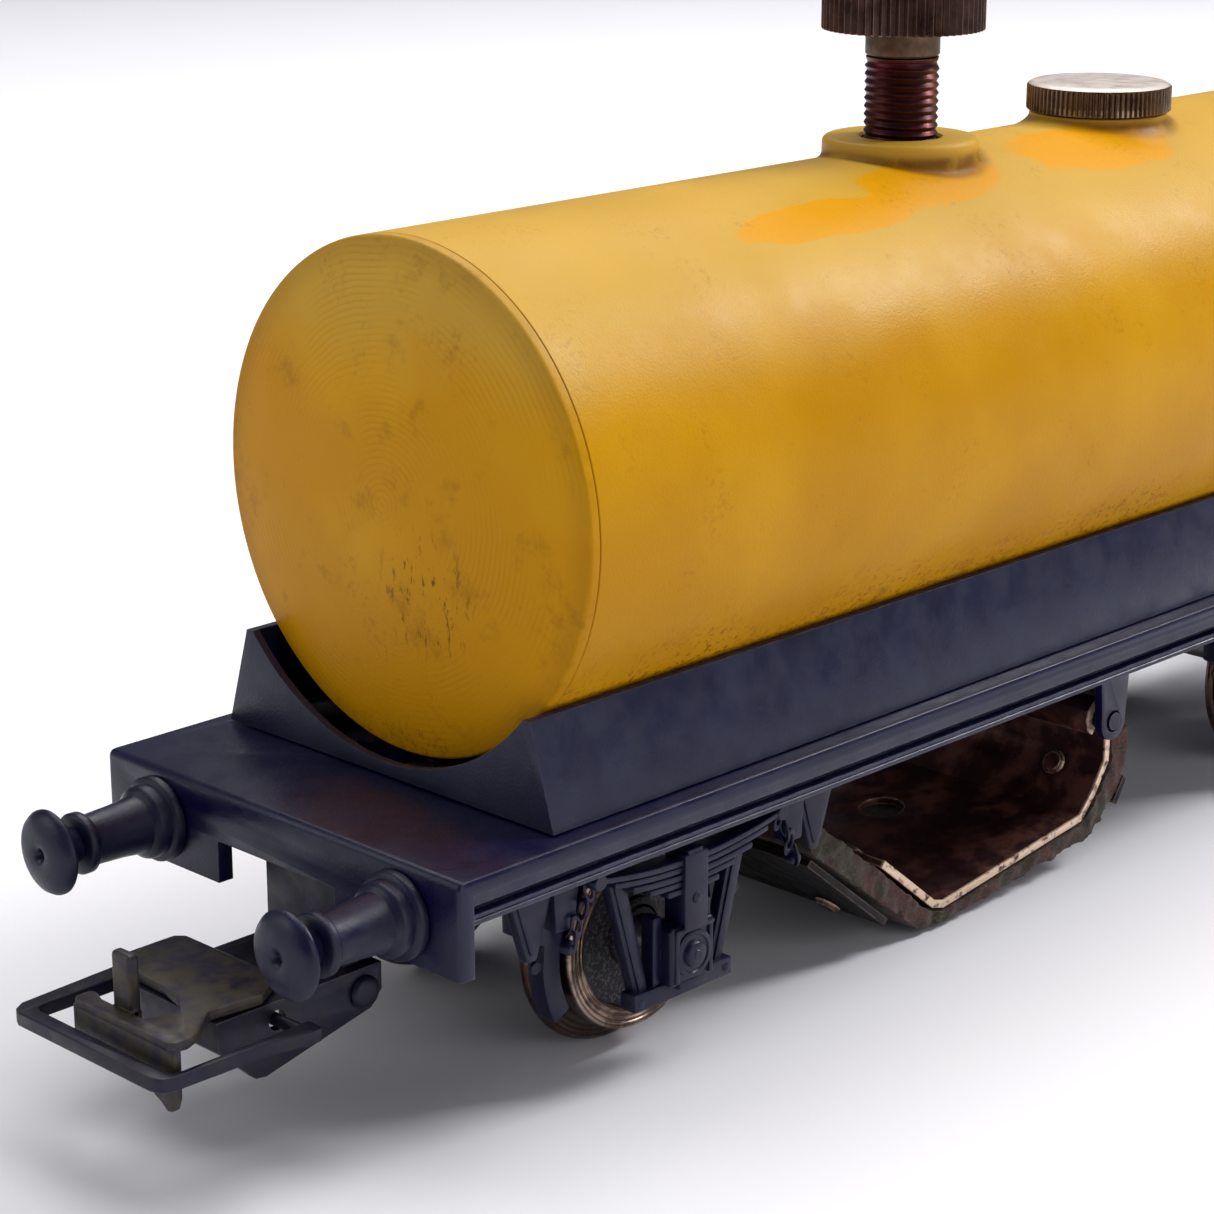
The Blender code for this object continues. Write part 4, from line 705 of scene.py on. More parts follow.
class Palette:
    """All the finishes, each made once when it is first asked for."""

    def __init__(self) -> None:
        """List the finishes with the sizes that they need from the frame."""
        boss = span("valve_spindle")
        cap = span("filler_cap")
        dome = span("tank_end_front")
        axle = span("axle_front")
        middle = (dome[0].z + dome[1].z) / 2
        boss_x, cap_x = ((low.x + high.x) / 2 for low, high in (boss, cap))
        # Places and sizes of the painted reflections of the valve and the filler cap.
        painted_reflections = ((boss_x + 3.5, 5.0, 6.5, 2.3), (boss_x + 15.0, 6.7, 9.0, 1.5), (cap_x + 7.0, 4.3, 7.4, 3.3))
        collars = ((boss_x, 4.9), (cap_x, 4.6))
        saddle_top = span("tank_cradle")[1].z
        pad_side = span("pad_holder")[1].y
        self.made: dict[str, bpy.types.Material] = {}
        finishes = [
            # The barrel's paint is a darker copy of the ends' paint: painted shade that evens out the stronger
            # light on the barrel.
            TankPaint("tank_paint", base=(0.47, 0.212, 0.002), bright=(0.56, 0.275, 0.005), painted_reflections=painted_reflections,
                      collars=collars, floor_line=saddle_top),
            TankPaint("end_paint", turned_about=middle, floor_line=saddle_top - 6.0),
            BlackEnamel("frame_enamel"),
            # The saddle's enamel is a lighter copy of the frame enamel: painted light on its outward-leaning
            # sides.
            BlackEnamel("saddle_enamel", base=(0.009, 0.010, 0.034), second=(0.014, 0.016, 0.044), edge=0.22,
                        edge_strength=0.35, dusting=0.35),
            BlackEnamel("moulding", base=(0.0011, 0.001, 0.018), second=(0.0028, 0.0025, 0.026), edge=0.10,
                        edge_strength=0.35, roughness=(0.32, 0.5), dusting=0.6),
            Metal("bronze", (0.075, 0.036, 0.026), (0.030, 0.013, 0.011), (0.30, 0.20, 0.14),
                  (0.015, 0.007, 0.006),
                  metallic=0.7, roughness=(0.36, 0.52), edge=0.10),
            # Its pale top colour is a painted highlight on upward faces.
            Metal("cap_bronze", (0.16, 0.10, 0.06), (0.08, 0.045, 0.028), (0.46, 0.36, 0.26),
                  (0.03, 0.018, 0.012),
                  metallic=0.7, roughness=(0.36, 0.5), edge=0.10, top=(0.62, 0.54, 0.48)),
            Metal("thread_bronze", (0.085, 0.010, 0.012), (0.034, 0.004, 0.006), (0.22, 0.12, 0.08),
                  (0.02, 0.01, 0.008), metallic=0.75, roughness=(0.3, 0.45), edge=0.08),
            Metal("sheet_brass", (0.17, 0.065, 0.045), (0.040, 0.010, 0.012), (0.80, 0.60, 0.43),
                  (0.020, 0.014, 0.012), metallic=0.6, cut_beyond=pad_side - 0.2, roughness=(0.34, 0.55),
                  edge=0.34, edge_strength=0.95, patina_size=3.2, patina_reach=(0.36, 0.56)),
            Metal("clip_brass", (0.010, 0.008, 0.008), (0.005, 0.004, 0.006), (0.34, 0.22, 0.15),
                  (0.016, 0.008, 0.006), metallic=0.6, roughness=(0.45, 0.65), edge=0.25, edge_strength=0.8),
            Metal("plain_steel", (0.42, 0.40, 0.38), (0.20, 0.18, 0.16), (0.7, 0.68, 0.65),
                  (0.08, 0.05, 0.03),
                  metallic=0.95, roughness=(0.28, 0.45)),
            Metal("dark_steel", (0.0025, 0.002, 0.022), (0.010, 0.008, 0.018), (0.13, 0.115, 0.13),
                  (0.030, 0.016, 0.014), metallic=0.25, roughness=(0.34, 0.52), edge=0.20, edge_strength=0.6,
                  patina_size=2.8, patina_reach=(0.40, 0.60), spot_reach=(0.64, 0.76)),
            Metal("olive_steel", (0.012, 0.010, 0.024), (0.040, 0.033, 0.021), (0.22, 0.19, 0.17),
                  (0.070, 0.034, 0.018), metallic=0.25, roughness=(0.36, 0.55), edge=0.20, edge_strength=0.6,
                  patina_size=1.3, patina_reach=(0.36, 0.60), spot_reach=(0.56, 0.70)),
            WheelMetal("wheel_metal", axle_x=(axle[0].x + axle[1].x) / 2, axle_z=(axle[0].z + axle[1].z) / 2),
            FeltWool("felt_wool"),
            Plain("insulating", (0.02, 0.02, 0.022), (0.04, 0.038, 0.036)),
            Plain("red_fibre", (0.25, 0.08, 0.04), (0.14, 0.05, 0.03)),
        ]
        self.finishes = {finish.name: finish for finish in finishes}

    def __getitem__(self, name: str) -> bpy.types.Material:
        """Return a finish's material, making it if it isn't there yet."""
        if name not in self.made:
            self.made[name] = self.finishes[name].make()
        return self.made[name]


@dataclass
class Assembly:
    """What every sub-assembly does: finish its pieces and dress the CAD nodes that it keeps."""

    palette: Palette

    def finish(
        self,
        piece: bpy.types.Object,
        coat: str,
        body: str,
        slot: Slot,
        stands_for: Sequence[str] = (),
        smooth: float = 35.0,
    ) -> bpy.types.Object:
        """Bring a piece to metres, shade it, dress it and let it ride on its body.

        Args:
            piece: The modelled piece, in millimetres.
            coat: Its finish.
            body: The CAD body that it moves with.
            slot: The record's material slot; not used.
            stands_for: The CAD nodes that it replaces.
            smooth: The angle in degrees up to which edges are shaded smooth.

        Returns:
            The finished piece.
        """
        Bench.pick(piece)
        piece.scale = (MM, MM, MM)
        bpy.ops.object.transform_apply(location=True, rotation=True, scale=True)
        bpy.ops.object.shade_smooth_by_angle(angle=math.radians(smooth))
        piece.data.materials.clear()
        piece.data.materials.append(self.palette[coat])
        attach(piece, body)
        if stands_for:
            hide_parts(*stands_for)
        LOG.info("%s: %d faces on %s", piece.name, len(piece.data.polygons), body)
        return piece

    def dress(self, node: str, coat: str) -> None:
        """Give a CAD node that stays a finish."""
        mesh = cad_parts[node].data
        mesh.materials.clear()
        mesh.materials.append(self.palette[coat])
        LOG.info("%s keeps its CAD shape", node)

    def softened(
        self, node: str, name: str, width: float, coat: str, body: str, slot: Slot, segments: int = 2
    ) -> bpy.types.Object:
        """Replace a CAD node with a copy whose edges are rounded.

        Args:
            node: The CAD node.
            name: The new piece's name.
            width: The width of the rounding.
            coat: Its finish.
            body: The CAD body that it moves with.
            slot: The record's material slot.
            segments: How many faces each rounding has.

        Returns:
            The finished piece.
        """
        piece = Bench.ease(Bench.from_node(node, name), width, segments)
        return self.finish(piece, coat, body, slot, (node,))


# ---- tank ----------------------------------------------------------------------------------------
@dataclass
class Tank(Assembly):
    """The barrel with its boss and filler neck, the two domed ends and the saddle that they lie in."""

    wall: float = 0.8
    steps: int = 144
    end_gap: float = 0.03
    dome_steps: int = 16
    dome_edge: float = 0.28
    boss_radius: float = 4.9
    neck_radius: float = 4.6
    boss_flare: Pair = (0.28, 0.5)
    neck_flare: Pair = (1.0, 1.5)
    boss_rounding: float = 0.4
    thread_bore: float = 2.5
    neck_bore: float = 3.7
    saddle_rounding: float = 0.12

    def build(self) -> None:
        """Build the tank."""
        low, high = span("tank_barrel")
        self.radius = (high.y - low.y) / 2
        self.axis = low.z + self.radius
        self.half = high.x
        self.barrel()
        self.ends()
        piece = Bench.from_node("tank_cradle", "saddle")
        self.finish(Bench.ease(piece, self.saddle_rounding, 3), "saddle_enamel", "wagon", Slot.FRAME,
                    ("tank_cradle",))
        for node in ("tank_screw_front", "tank_screw_rear"):
            self.dress(node, "plain_steel")

    def barrel(self) -> None:
        """Turn the barrel, bore it and stand the boss and the neck on it."""
        inner = self.radius - self.wall
        reach = self.half + 0.05
        ring = [(inner, -reach), (self.radius - 0.04, -reach), (self.radius, -reach + 0.04),
                (self.radius, reach - 0.04), (self.radius - 0.04, reach), (inner, reach)]
        shell = Bench.turn("tank_shell", Axis.X, ring, self.steps, (0.0, 0.0, self.axis))
        filler_x = sum(corner.x for corner in span("filler_cap")) / 2
        crown = self.axis + self.radius
        bores = [
            Bench.turn("bore", Axis.Z, [(0, self.axis), (r, self.axis), (r, crown + 2), (0, crown + 2)], 48,
                       (x, 0, 0))
            for x, r in ((0.0, self.thread_bore), (filler_x, self.neck_bore))
        ]
        shell = Bench.carve(shell, bores)
        boss_top = span("tank_barrel")[1].z
        neck_top = span("filler_gasket")[0].z - 0.1
        boss = self.collar("boss", 0.0, self.boss_radius, self.thread_bore, boss_top, self.boss_rounding,
                           self.boss_flare)
        neck = self.collar("neck", filler_x, self.neck_radius, self.neck_bore, neck_top, 0.12,
                           self.neck_flare)
        piece = Bench.join("tank_shell", shell, boss, neck)
        self.finish(piece, "tank_paint", "wagon", Slot.TANK, ("tank_barrel",), 40.0)

    def collar(
        self, name: str, x: float, radius: float, bore: float, top: float, rounding: float, flare: Pair
    ) -> bpy.types.Object:
        """Turn a ring that stands on the barrel with a flared foot.

        Args:
            name: The piece's name.
            x: Its place along the barrel.
            radius: Its outer radius.
            bore: The radius of its hole.
            top: The height of its top face.
            rounding: The rounding of its top edge.
            flare: How far its foot spreads along the barrel and across it.

        Returns:
            The ring, with its foot following the barrel.
        """
        foot = [(radius + 1.0, -0.08)]
        foot += [(radius + (1 - math.sin(a)),
                  1 - math.cos(a)) for a in (math.pi / 2 * i / 8 for i in range(9))]
        rim = [(radius - rounding * (1 - math.cos(a)), top - rounding * (1 - math.sin(a)))
               for a in (math.pi / 2 * i / 5 for i in range(6))]
        low = self.axis + self.radius - self.wall - 1.0
        profile = [(bore, low), (radius, low)] + foot + rim + [(bore + 0.15, top), (bore, top - 0.15)]
        piece = Bench.turn(name, Axis.Z, profile, 96, (x, 0.0, 0.0))

        def settle(spot: Vector) -> Vector:
            """Return a foot vertex moved down onto the barrel."""
            away = math.hypot(spot.x - x, spot.y)
            if spot.z > 2.0:
                return spot
            share = away - radius
            across = abs(spot.y) / max(away, 0.001)
            reach = flare[0] + (flare[1] - flare[0]) * across ** 2
            away_now = radius + share * reach
            factor = away_now / max(away, 0.001)
            y = spot.y * factor
            base = self.axis + math.sqrt(max(self.radius ** 2 - y ** 2, 0.0))
            rise = min(spot.z * reach, (top - base) * 0.8 * spot.z) if spot.z > 0 else spot.z
            return Vector((x + (spot.x - x) * factor, y, base + rise))

        return Bench.reshape(piece, settle)

    def ends(self) -> None:
        """Turn the two domed ends, each with a rounded shoulder."""
        low, high = span("tank_end_front")
        face = self.half + 0.7 + 0.1
        bulge = high.x - face
        seat = self.half + 0.05 + self.end_gap
        crown, edge = self.dome_steps, self.dome_edge
        curve = [(r, face + bulge * (1 - (r / self.radius) ** 2))
                 for r in ((self.radius - edge) * i / crown for i in range(crown + 1))]
        shoulder = curve[-1][1]
        curve += [(self.radius - edge * (1 - math.sin(a)), shoulder - edge * (1 - math.cos(a)))
                  for a in (math.pi / 2 * i / 5 for i in range(1, 6))]
        rim = [(self.radius, seat + 0.06), (self.radius - 0.06, seat)]
        profile = curve + rim + [(self.radius - self.wall, seat), (self.radius - self.wall, low.x),
                                 (0.0, low.x)]
        front = Bench.turn("tank_dome_front", Axis.X, profile, self.steps, (0.0, 0.0, self.axis))
        rear = Bench.copy(front, "tank_dome_rear", HALF_TURN)
        self.finish(front, "end_paint", "wagon", Slot.TANK, ("tank_end_front",), 40.0)
        self.finish(rear, "end_paint", "wagon", Slot.TANK, ("tank_end_rear",), 40.0)


# ---- valve and filler ------------------------------------------------------------------------------
@dataclass
class Valve(Assembly):
    """The knurled valve knob on its threaded spindle, the stop collar, and the knurled filler cap."""

    steps: int = 240
    knob_teeth: int = 60
    cap_teeth: int = 80
    tooth: float = 0.24
    pitch: float = 0.5
    thread_depth: float = 0.16

    def build(self) -> None:
        """Build the valve and the filler."""
        self.spindle()
        self.collar()
        self.knob()
        self.cap()
        self.dress("filler_gasket", "red_fibre")
        self.dress("drip_nozzle", "sheet_brass")

    def knurled(self, piece: bpy.types.Object, x: float, teeth: int, zone: Pair,
                rim: float) -> bpy.types.Object:
        """Press straight teeth into the side of a turned piece.

        Args:
            piece: The turned piece, with four steps for each tooth.
            x: The place of its axis.
            teeth: How many teeth it has.
            zone: The heights that the teeth run between.
            rim: The radius outside which the side is.

        Returns:
            The same piece.
        """
        def press(spot: Vector) -> Vector:
            """Return a vertex of the side moved in between two teeth."""
            away = math.hypot(spot.x - x, spot.y)
            if away < rim or not zone[0] <= spot.z <= zone[1]:
                return spot
            turn = math.atan2(spot.y, spot.x - x) / (2 * math.pi) * teeth
            wave = 0.5 - 0.5 * math.cos(2 * math.pi * turn)
            factor = 1 - self.tooth * min(1.0, 1.25 * wave) / away
            return Vector((x + (spot.x - x) * factor, spot.y * factor, spot.z))

        return Bench.reshape(piece, press)

    def knob(self) -> None:
        """Turn the knob and knurl it."""
        low, high = span("valve_knob")
        radius = (high.x - low.x) / 2
        bottom, top = low.z, high.z
        bore = 1.35
        sides = [bottom + 0.3 + (top - bottom - 0.7) * i / 4 for i in range(1, 5)]
        profile = [(bore, bottom), (radius - 0.5, bottom), (radius - 0.06, bottom), (radius, bottom + 0.06)]
        profile += [(radius, z) for z in sides]
        profile += [(radius - 0.12, top - 0.22), (radius - 0.4, top - 0.06), (radius - 0.7, top), (1.6, top),
                    (1.5, top - 0.1), (0, top - 0.1), (0, bottom + 1.0), (bore, bottom + 1.0)]
        piece = Bench.turn("valve_grip", Axis.Z, profile, self.steps)
        zone = (bottom - 0.01, top - 0.2)
        self.knurled(piece, 0.0, self.knob_teeth, zone, radius - 0.3)
        self.finish(piece, "bronze", "valve", Slot.BRONZE, ("valve_knob",), 32.0)

    def spindle(self) -> None:
        """Turn the spindle with a ridge for each turn of its thread."""
        low, high = span("valve_spindle")
        radius = (high.x - low.x) / 2
        collar = span("valve_collar")[0].z - 0.1
        boss = span("tank_barrel")[1].z
        start = boss - 2.0
        profile = [(0, low.z), (0.25, low.z), (0.8, low.z + 0.95), (0.8, boss - 3.4),
                   (radius - 0.3, start - 0.3)]
        ridges = int((collar - 0.35 - start) / self.pitch)
        for i in range(ridges):
            z = start + i * self.pitch
            profile += [(radius - self.thread_depth, z), (radius - 0.04, z + self.pitch * 0.36),
                        (radius, z + self.pitch * 0.5), (radius - 0.04, z + self.pitch * 0.64)]
        end = start + ridges * self.pitch
        profile += [(radius - self.thread_depth, end), (radius - self.thread_depth, collar - 0.25),
                    (radius - 0.1, collar - 0.2), (radius - 0.05, collar), (1.25, collar), (1.25, high.z),
                    (0, high.z)]
        piece = Bench.turn("valve_screw", Axis.Z, profile, 72)
        lean = self.pitch / (2 * math.pi)

        def pitch_over(spot: Vector) -> Vector:
            """Return a thread vertex leant so that the ridges rise as they go round."""
            away = math.hypot(spot.x, spot.y)
            if away < 1.5 or not start < spot.z < end:
                return spot
            return Vector((spot.x, spot.y,
                           spot.z + lean * math.cos(math.atan2(spot.y, spot.x) + math.pi / 4)))

        Bench.reshape(piece, pitch_over)
        self.finish(piece, "thread_bronze", "valve", Slot.BRONZE, ("valve_spindle",), 50.0)

    def collar(self) -> None:
        """Turn the plain stop collar with its eased edges."""
        low, high = span("valve_collar")
        radius = (high.x - low.x) / 2
        bore = 1.45
        profile = [(bore, low.z), (radius - 0.12, low.z), (radius, low.z + 0.12), (radius, high.z - 0.12),
                   (radius - 0.12, high.z), (bore, high.z)]
        piece = Bench.turn("valve_stop", Axis.Z, profile, 72)
        self.finish(piece, "cap_bronze", "valve_rise", Slot.BRONZE, ("valve_collar",))

    def cap(self) -> None:
        """Turn the filler cap with its slightly domed top and knurl its side."""
        low, high = span("filler_cap")
        x = (low.x + high.x) / 2
        radius = (high.x - low.x) / 2
        under = span("filler_gasket")[1].z + 0.1
        plug = 3.5
        top = high.z
        skirt = span("filler_gasket")[0].z + 0.02
        side = [(radius, skirt + 0.1 + (top - skirt - 0.5) * i / 4) for i in range(5)]
        profile = [(0, low.z), (plug - 0.2, low.z), (plug, low.z + 0.2), (plug, under),
                   (radius - 0.22, under),
                   (radius - 0.22, skirt), (radius - 0.05, skirt)] + side
        profile += [(radius - 0.1, top - 0.28), (radius - 0.35, top - 0.14), (radius - 0.9, top - 0.08),
                    (radius * 0.6, top - 0.02), (0, top)]
        piece = Bench.turn("filler_lid", Axis.Z, profile, self.cap_teeth * 3, (x, 0.0, 0.0))
        self.knurled(piece, x, self.cap_teeth, (skirt - 0.01, top - 0.3), radius - 0.1)
        self.finish(piece, "cap_bronze", "cap", Slot.BRONZE, ("filler_cap",), 32.0)


# ---- underframe ------------------------------------------------------------------------------------
@dataclass
class Underframe(Assembly):
    """The folded floor with its solebars, and the four buffers in its headstocks."""

    rounding: float = 0.07
    buffer_steps: int = 56

    def build(self) -> None:
        """Build the underframe."""
        self.softened("underframe", "chassis", self.rounding, "frame_enamel", "wagon", Slot.FRAME)
        self.buffers()

    def buffers(self) -> None:
        """Turn one buffer and put copies of it in the four corners."""
        low, high = span("buffer_front_left")
        floor_end = span("underframe")[1].x
        face, seat = high.x, floor_end + 0.1
        y, z = (low.y + high.y) / 2, (low.z + high.z) / 2
        head, foot = 2.425, (high.z - low.z) / 2
        profile = [
            (0, face - 0.42), (0.20, face - 0.40), (0.30, face - 0.22), (0.42, face - 0.07),
            (0.6, face - 0.02),
            (0.9, face), (head * 0.55, face - 0.06), (head * 0.78, face - 0.22), (head * 0.93, face - 0.45),
            (head, face - 0.72), (head, face - 0.86), (head - 0.12, face - 0.98), (1.7, face - 1.12),
            (1.25, face - 1.3), (1.02, face - 1.6), (1.0, face - 2.3), (1.62, face - 2.36),
            (1.75, face - 2.5),
            (1.75, face - 2.92), (1.66, face - 3.04), (1.46, face - 3.1), (1.44, face - 3.3),
            (1.52, seat + 3.0),
            (1.66, seat + 1.55), (foot - 0.62, seat + 1.45), (foot - 0.42, seat + 1.3),
            (foot - 0.35, seat + 1.1),
            (foot - 0.35, seat + 0.6), (foot - 0.1, seat + 0.52), (foot, seat + 0.42), (foot, seat),
            (1.0, seat),
            (1.0, low.x), (0, low.x),
        ]
        first = Bench.turn("buffer", Axis.X, profile, self.buffer_steps, (0.0, y, z))
        places = {
            "front_left": Matrix.Identity(4),
            "front_right": Matrix.Translation((0.0, -2 * y, 0.0)),
            "rear_right": HALF_TURN,
            "rear_left": HALF_TURN @ Matrix.Translation((0.0, -2 * y, 0.0)),
        }
        for corner, move in places.items():
            piece = Bench.copy(first, f"buffer_turned_{corner}", move)
            self.finish(piece, "moulding", "wagon", Slot.MOULDED, (f"buffer_{corner}",), 50.0)
        bpy.data.objects.remove(first)


# ---- axleguards ------------------------------------------------------------------------------------
@dataclass
class Axleguards(Assembly):
    """Four axleguard mouldings with springs, axleboxes, shackles and brakes, modelled once."""

    inner: float = 12.3
    outer: float = 13.1
    leaves: int = 5
    leaf: float = 0.42
    leaf_rise: float = 0.85
    spring_half: float = 7.6
    shoe: float = 1.3
    brake_gap: float = 0.4
    knee: float = 7.35
    parts: list[bpy.types.Object] = field(default_factory=list)

    def build(self) -> None:
        """Model one axleguard and put copies of it at the four axle ends."""
        low, high = span("axleguard_front_left")
        axle_low, axle_high = span("axle_front")
        self.axle = (axle_low.z + axle_high.z) / 2
        self.axle_x = (axle_low.x + axle_high.x) / 2
        self.top = span("underframe")[0].z + 2.65
        self.roof = high.z - 0.9
        self.plates()
        self.spring()
        self.axlebox()
        self.brakes()
        guard = Bench.join("axleguard", *self.parts)
        for along, x_sign in (("front", 1), ("rear", -1)):
            for across, y_sign in (("left", 1), ("right", -1)):
                move = Matrix.Translation((x_sign * self.axle_x, 0.0, 0.0))
                if y_sign < 0:
                    move = move @ HALF_TURN
                piece = Bench.copy(guard, f"axle_horn_{along}_{across}", move)
                node = f"axleguard_{along}_{across}"
                self.finish(piece, "moulding", "wagon", Slot.MOULDED, (node,), 40.0)
                self.dress(f"bearing_cup_{along}_{across}", "sheet_brass")
        bpy.data.objects.remove(guard)

    def add(self, piece: bpy.types.Object, rounding: float = 0.08, segments: int = 2) -> None:
        """Round a part of the moulding and keep it for joining."""
        self.parts.append(Bench.ease(piece, rounding, segments) if rounding else piece)

    def plates(self) -> None:
        """Model the top rail, the legs, guides, keep and gussets, and the foot under the floor."""
        inner, outer, top, axle = self.inner, self.outer, self.top, self.axle
        low, high = axle - 2.7, axle - 1.6
        self.add(Bench.block("rail", (-13.2, 13.2), (inner, outer), (top - 0.3, self.roof)), 0.1)
        for end in (1, -1):
            leg = [(6.0, top), (4.68, top), (2.3, low + 0.2), (3.4, low + 0.2)]
            self.strap(leg, end, inner + 0.02, outer - 0.02, 0.12)
            inset = [(5.72, top - 0.2), (4.95, top - 0.2), (2.62, low + 0.4), (3.15, low + 0.4)]
            self.strap(inset, end, outer - 0.1, outer + 0.12, 0.06)
            gusset = [(9.8, top), (13.15, top), (11.85, top - 4.0), (11.15, top - 4.0)]
            self.strap(gusset, end, inner + 0.1, outer + 0.02, 0.12)
            rim = [(10.15, top - 0.15), (12.8, top - 0.15), (11.7, top - 3.6), (11.3, top - 3.6)]
            self.strap(rim, end, outer - 0.1, outer + 0.16, 0.08)
            tie = [(8.2, top), (10.2, top), (10.0, top - 2.8), (8.6, top - 2.8)]
            self.strap(tie, end, inner + 0.05, outer + 0.33, 0.15)
            self.add(Bench.block("guide", (end * 1.65, end * 2.35), (inner + 0.03, outer + 0.2),
                                 (low + 0.3, axle + 2.45)), 0.1)
            self.bolt((end * 3.5, 0.0, (low + high) / 2), outer + 0.25, outer + 0.5, 0.30)
            self.bolt((end * 12.4, 0.0, top + 0.7), outer - 0.1, outer + 0.18, 0.28)
            self.bolt((end * 7.4, 0.0, top + 0.7), outer - 0.1, outer + 0.18, 0.28)
        self.add(Bench.block("keep", (-4.0, 4.0), (inner + 0.01, outer + 0.4), (low, high)), 0.15)
        self.add(Bench.block("foot", (-3.0, 3.0), (inner - 1.9, inner + 0.3),
                             (self.roof - 0.8, self.roof - 0.02)), 0.1)
        stud = [(0, self.roof - 0.5), (0.5, self.roof - 0.5), (0.5, self.roof + 0.9), (0, self.roof + 0.9)]
        self.add(Bench.turn("stud", Axis.Z, stud, 16, (0.0, inner - 0.95, 0.0)), 0.0)

    def strap(self, outline: Sequence[Pair], end: int, low: float, high: float, rounding: float) -> None:
        """Add a flat plate, mirrored to one end, between two depths."""
        self.add(Bench.plate("strap", Plane.XZ, [(end * x, z) for x, z in outline], low, high), rounding)

    def bolt(self, centre: Sequence[float], low: float, high: float, radius: float) -> None:
        """Add a domed bolt head that faces outwards."""
        rise = high - low
        profile = [(0, low), (radius, low), (radius, high - rise * 0.35), (radius * 0.7, high - rise * 0.08),
                   (0, high)]
        self.add(Bench.turn("bolt", Axis.Y, profile, 12, centre), 0.0)

    def spring(self) -> None:
        """Model the leaf spring, its buckle, its end eyes and the chain shackles that hang from them."""
        top = self.roof - 2.75
        depth = self.outer + 1.1
        steps = 14
        for index in range(self.leaves):
            half = self.spring_half * (1 - index / (self.leaves + 0.5))
            runs = [-half + 2 * half * i / steps for i in range(steps + 1)]
            upper = [(x, top - index * self.leaf + self.leaf_rise * (x / self.spring_half) ** 2) for x in runs]
            lower = [(x, z - self.leaf * 0.86) for x, z in reversed(upper)]
            leaf = Bench.plate("leaf", Plane.XZ, upper + lower, self.outer - 0.3, depth - 0.05 * (index % 2))
            self.add(leaf, 0.09)
        self.add(Bench.block("buckle", (-0.95, 0.95), (self.outer - 0.35, depth + 0.22),
                             (self.axle + 1.6, top + 0.28)), 0.14)
        self.add(Bench.block("buckle_top", (-0.6, 0.6), (self.outer + 0.2, depth + 0.1),
                             (top + 0.1, top + 0.5)), 0.1)
        self.bolt((0.0, 0.0, self.axle + 3.4), depth + 0.1, depth + 0.38, 0.34)
        for end in (1, -1):
            eye_x, eye_z = end * (self.spring_half - 0.2), top + self.leaf_rise - 0.3
            eye = [(0.0, self.outer - 0.1), (0.5, self.outer - 0.1), (0.5, depth - 0.05),
                   (0.42, depth + 0.05),
                   (0.0, depth + 0.05)]
            self.add(Bench.turn("eye", Axis.Y, eye, 20, (eye_x, 0.0, eye_z)), 0.0)
            spots = [(0.30, -0.55, 0), (0.78, -1.42, 1), (1.26, -2.30, 0), (1.66, -3.10, 1)]
            for along, drop, turned in spots:
                self.link(Vector((eye_x + end * along, depth - 0.62, eye_z + drop)), end, bool(turned))
            self.bolt((eye_x + end * 1.75, 0.0, eye_z - 3.4), self.outer + 0.05, self.outer + 0.8, 0.42)

    def link(self, centre: Vector, end: int, turned: bool) -> None:
        """Add one link of a shackle chain, flat on the side or turned edge-on."""
        Bench.clear()
        bpy.ops.mesh.primitive_torus_add(
            major_radius=0.36, minor_radius=0.10, major_segments=20, minor_segments=8, location=centre,
            rotation=(math.radians(90), math.radians(end * 28), math.radians(78 if turned else 12)),
        )
        ring = bpy.context.object
        ring.scale = (1.0, 1.75, 1.0)
        bpy.ops.object.transform_apply(location=True, rotation=True, scale=True)
        self.parts.append(ring)

    def axlebox(self) -> None:
        """Model the axlebox with its round cover, its ribs and its lip, open behind for the bearing cup."""
        inner, outer, axle = self.inner, self.outer, self.axle
        box = Bench.block("axlebox", (-1.75, 1.75), (inner + 0.04, outer + 1.05), (axle - 1.7, axle + 1.85))
        box = Bench.ease(box, 0.25, 3)
        cup = [(0, inner - 1), (1.2, inner - 1), (1.2, inner + 1.7), (0, inner + 1.7)]
        self.parts.append(Bench.carve(box, [Bench.turn("cup", Axis.Y, cup, 24, (0.0, 0.0, axle))]))
        face = outer + 1.05
        cover = [(0, face - 0.3), (1.42, face - 0.3), (1.42, face + 0.10), (1.34, face + 0.16),
                 (1.12, face + 0.16),
                 (1.06, face + 0.08), (0.80, face + 0.08), (0.74, face + 0.30), (0.66, face + 0.36),
                 (0.30, face + 0.38),
                 (0.26, face + 0.43), (0, face + 0.44)]
        self.add(Bench.turn("cover", Axis.Y, cover, 36, (0.0, 0.0, axle)), 0.0)
        for x in (-1.35, 1.35):
            self.add(Bench.block("rib", (x - 0.16, x + 0.16), (outer + 0.5, face + 0.14),
                                 (axle - 1.5, axle + 1.7)), 0.08)
        self.add(Bench.block("lip", (-1.55, 1.55), (outer + 0.5, face + 0.22), (axle + 1.45, axle + 1.75)),
                 0.1)
        self.add(Bench.block("sump", (-1.1, 1.1), (outer + 0.2, face + 0.05), (axle - 2.0, axle - 1.45)),
                 0.15)

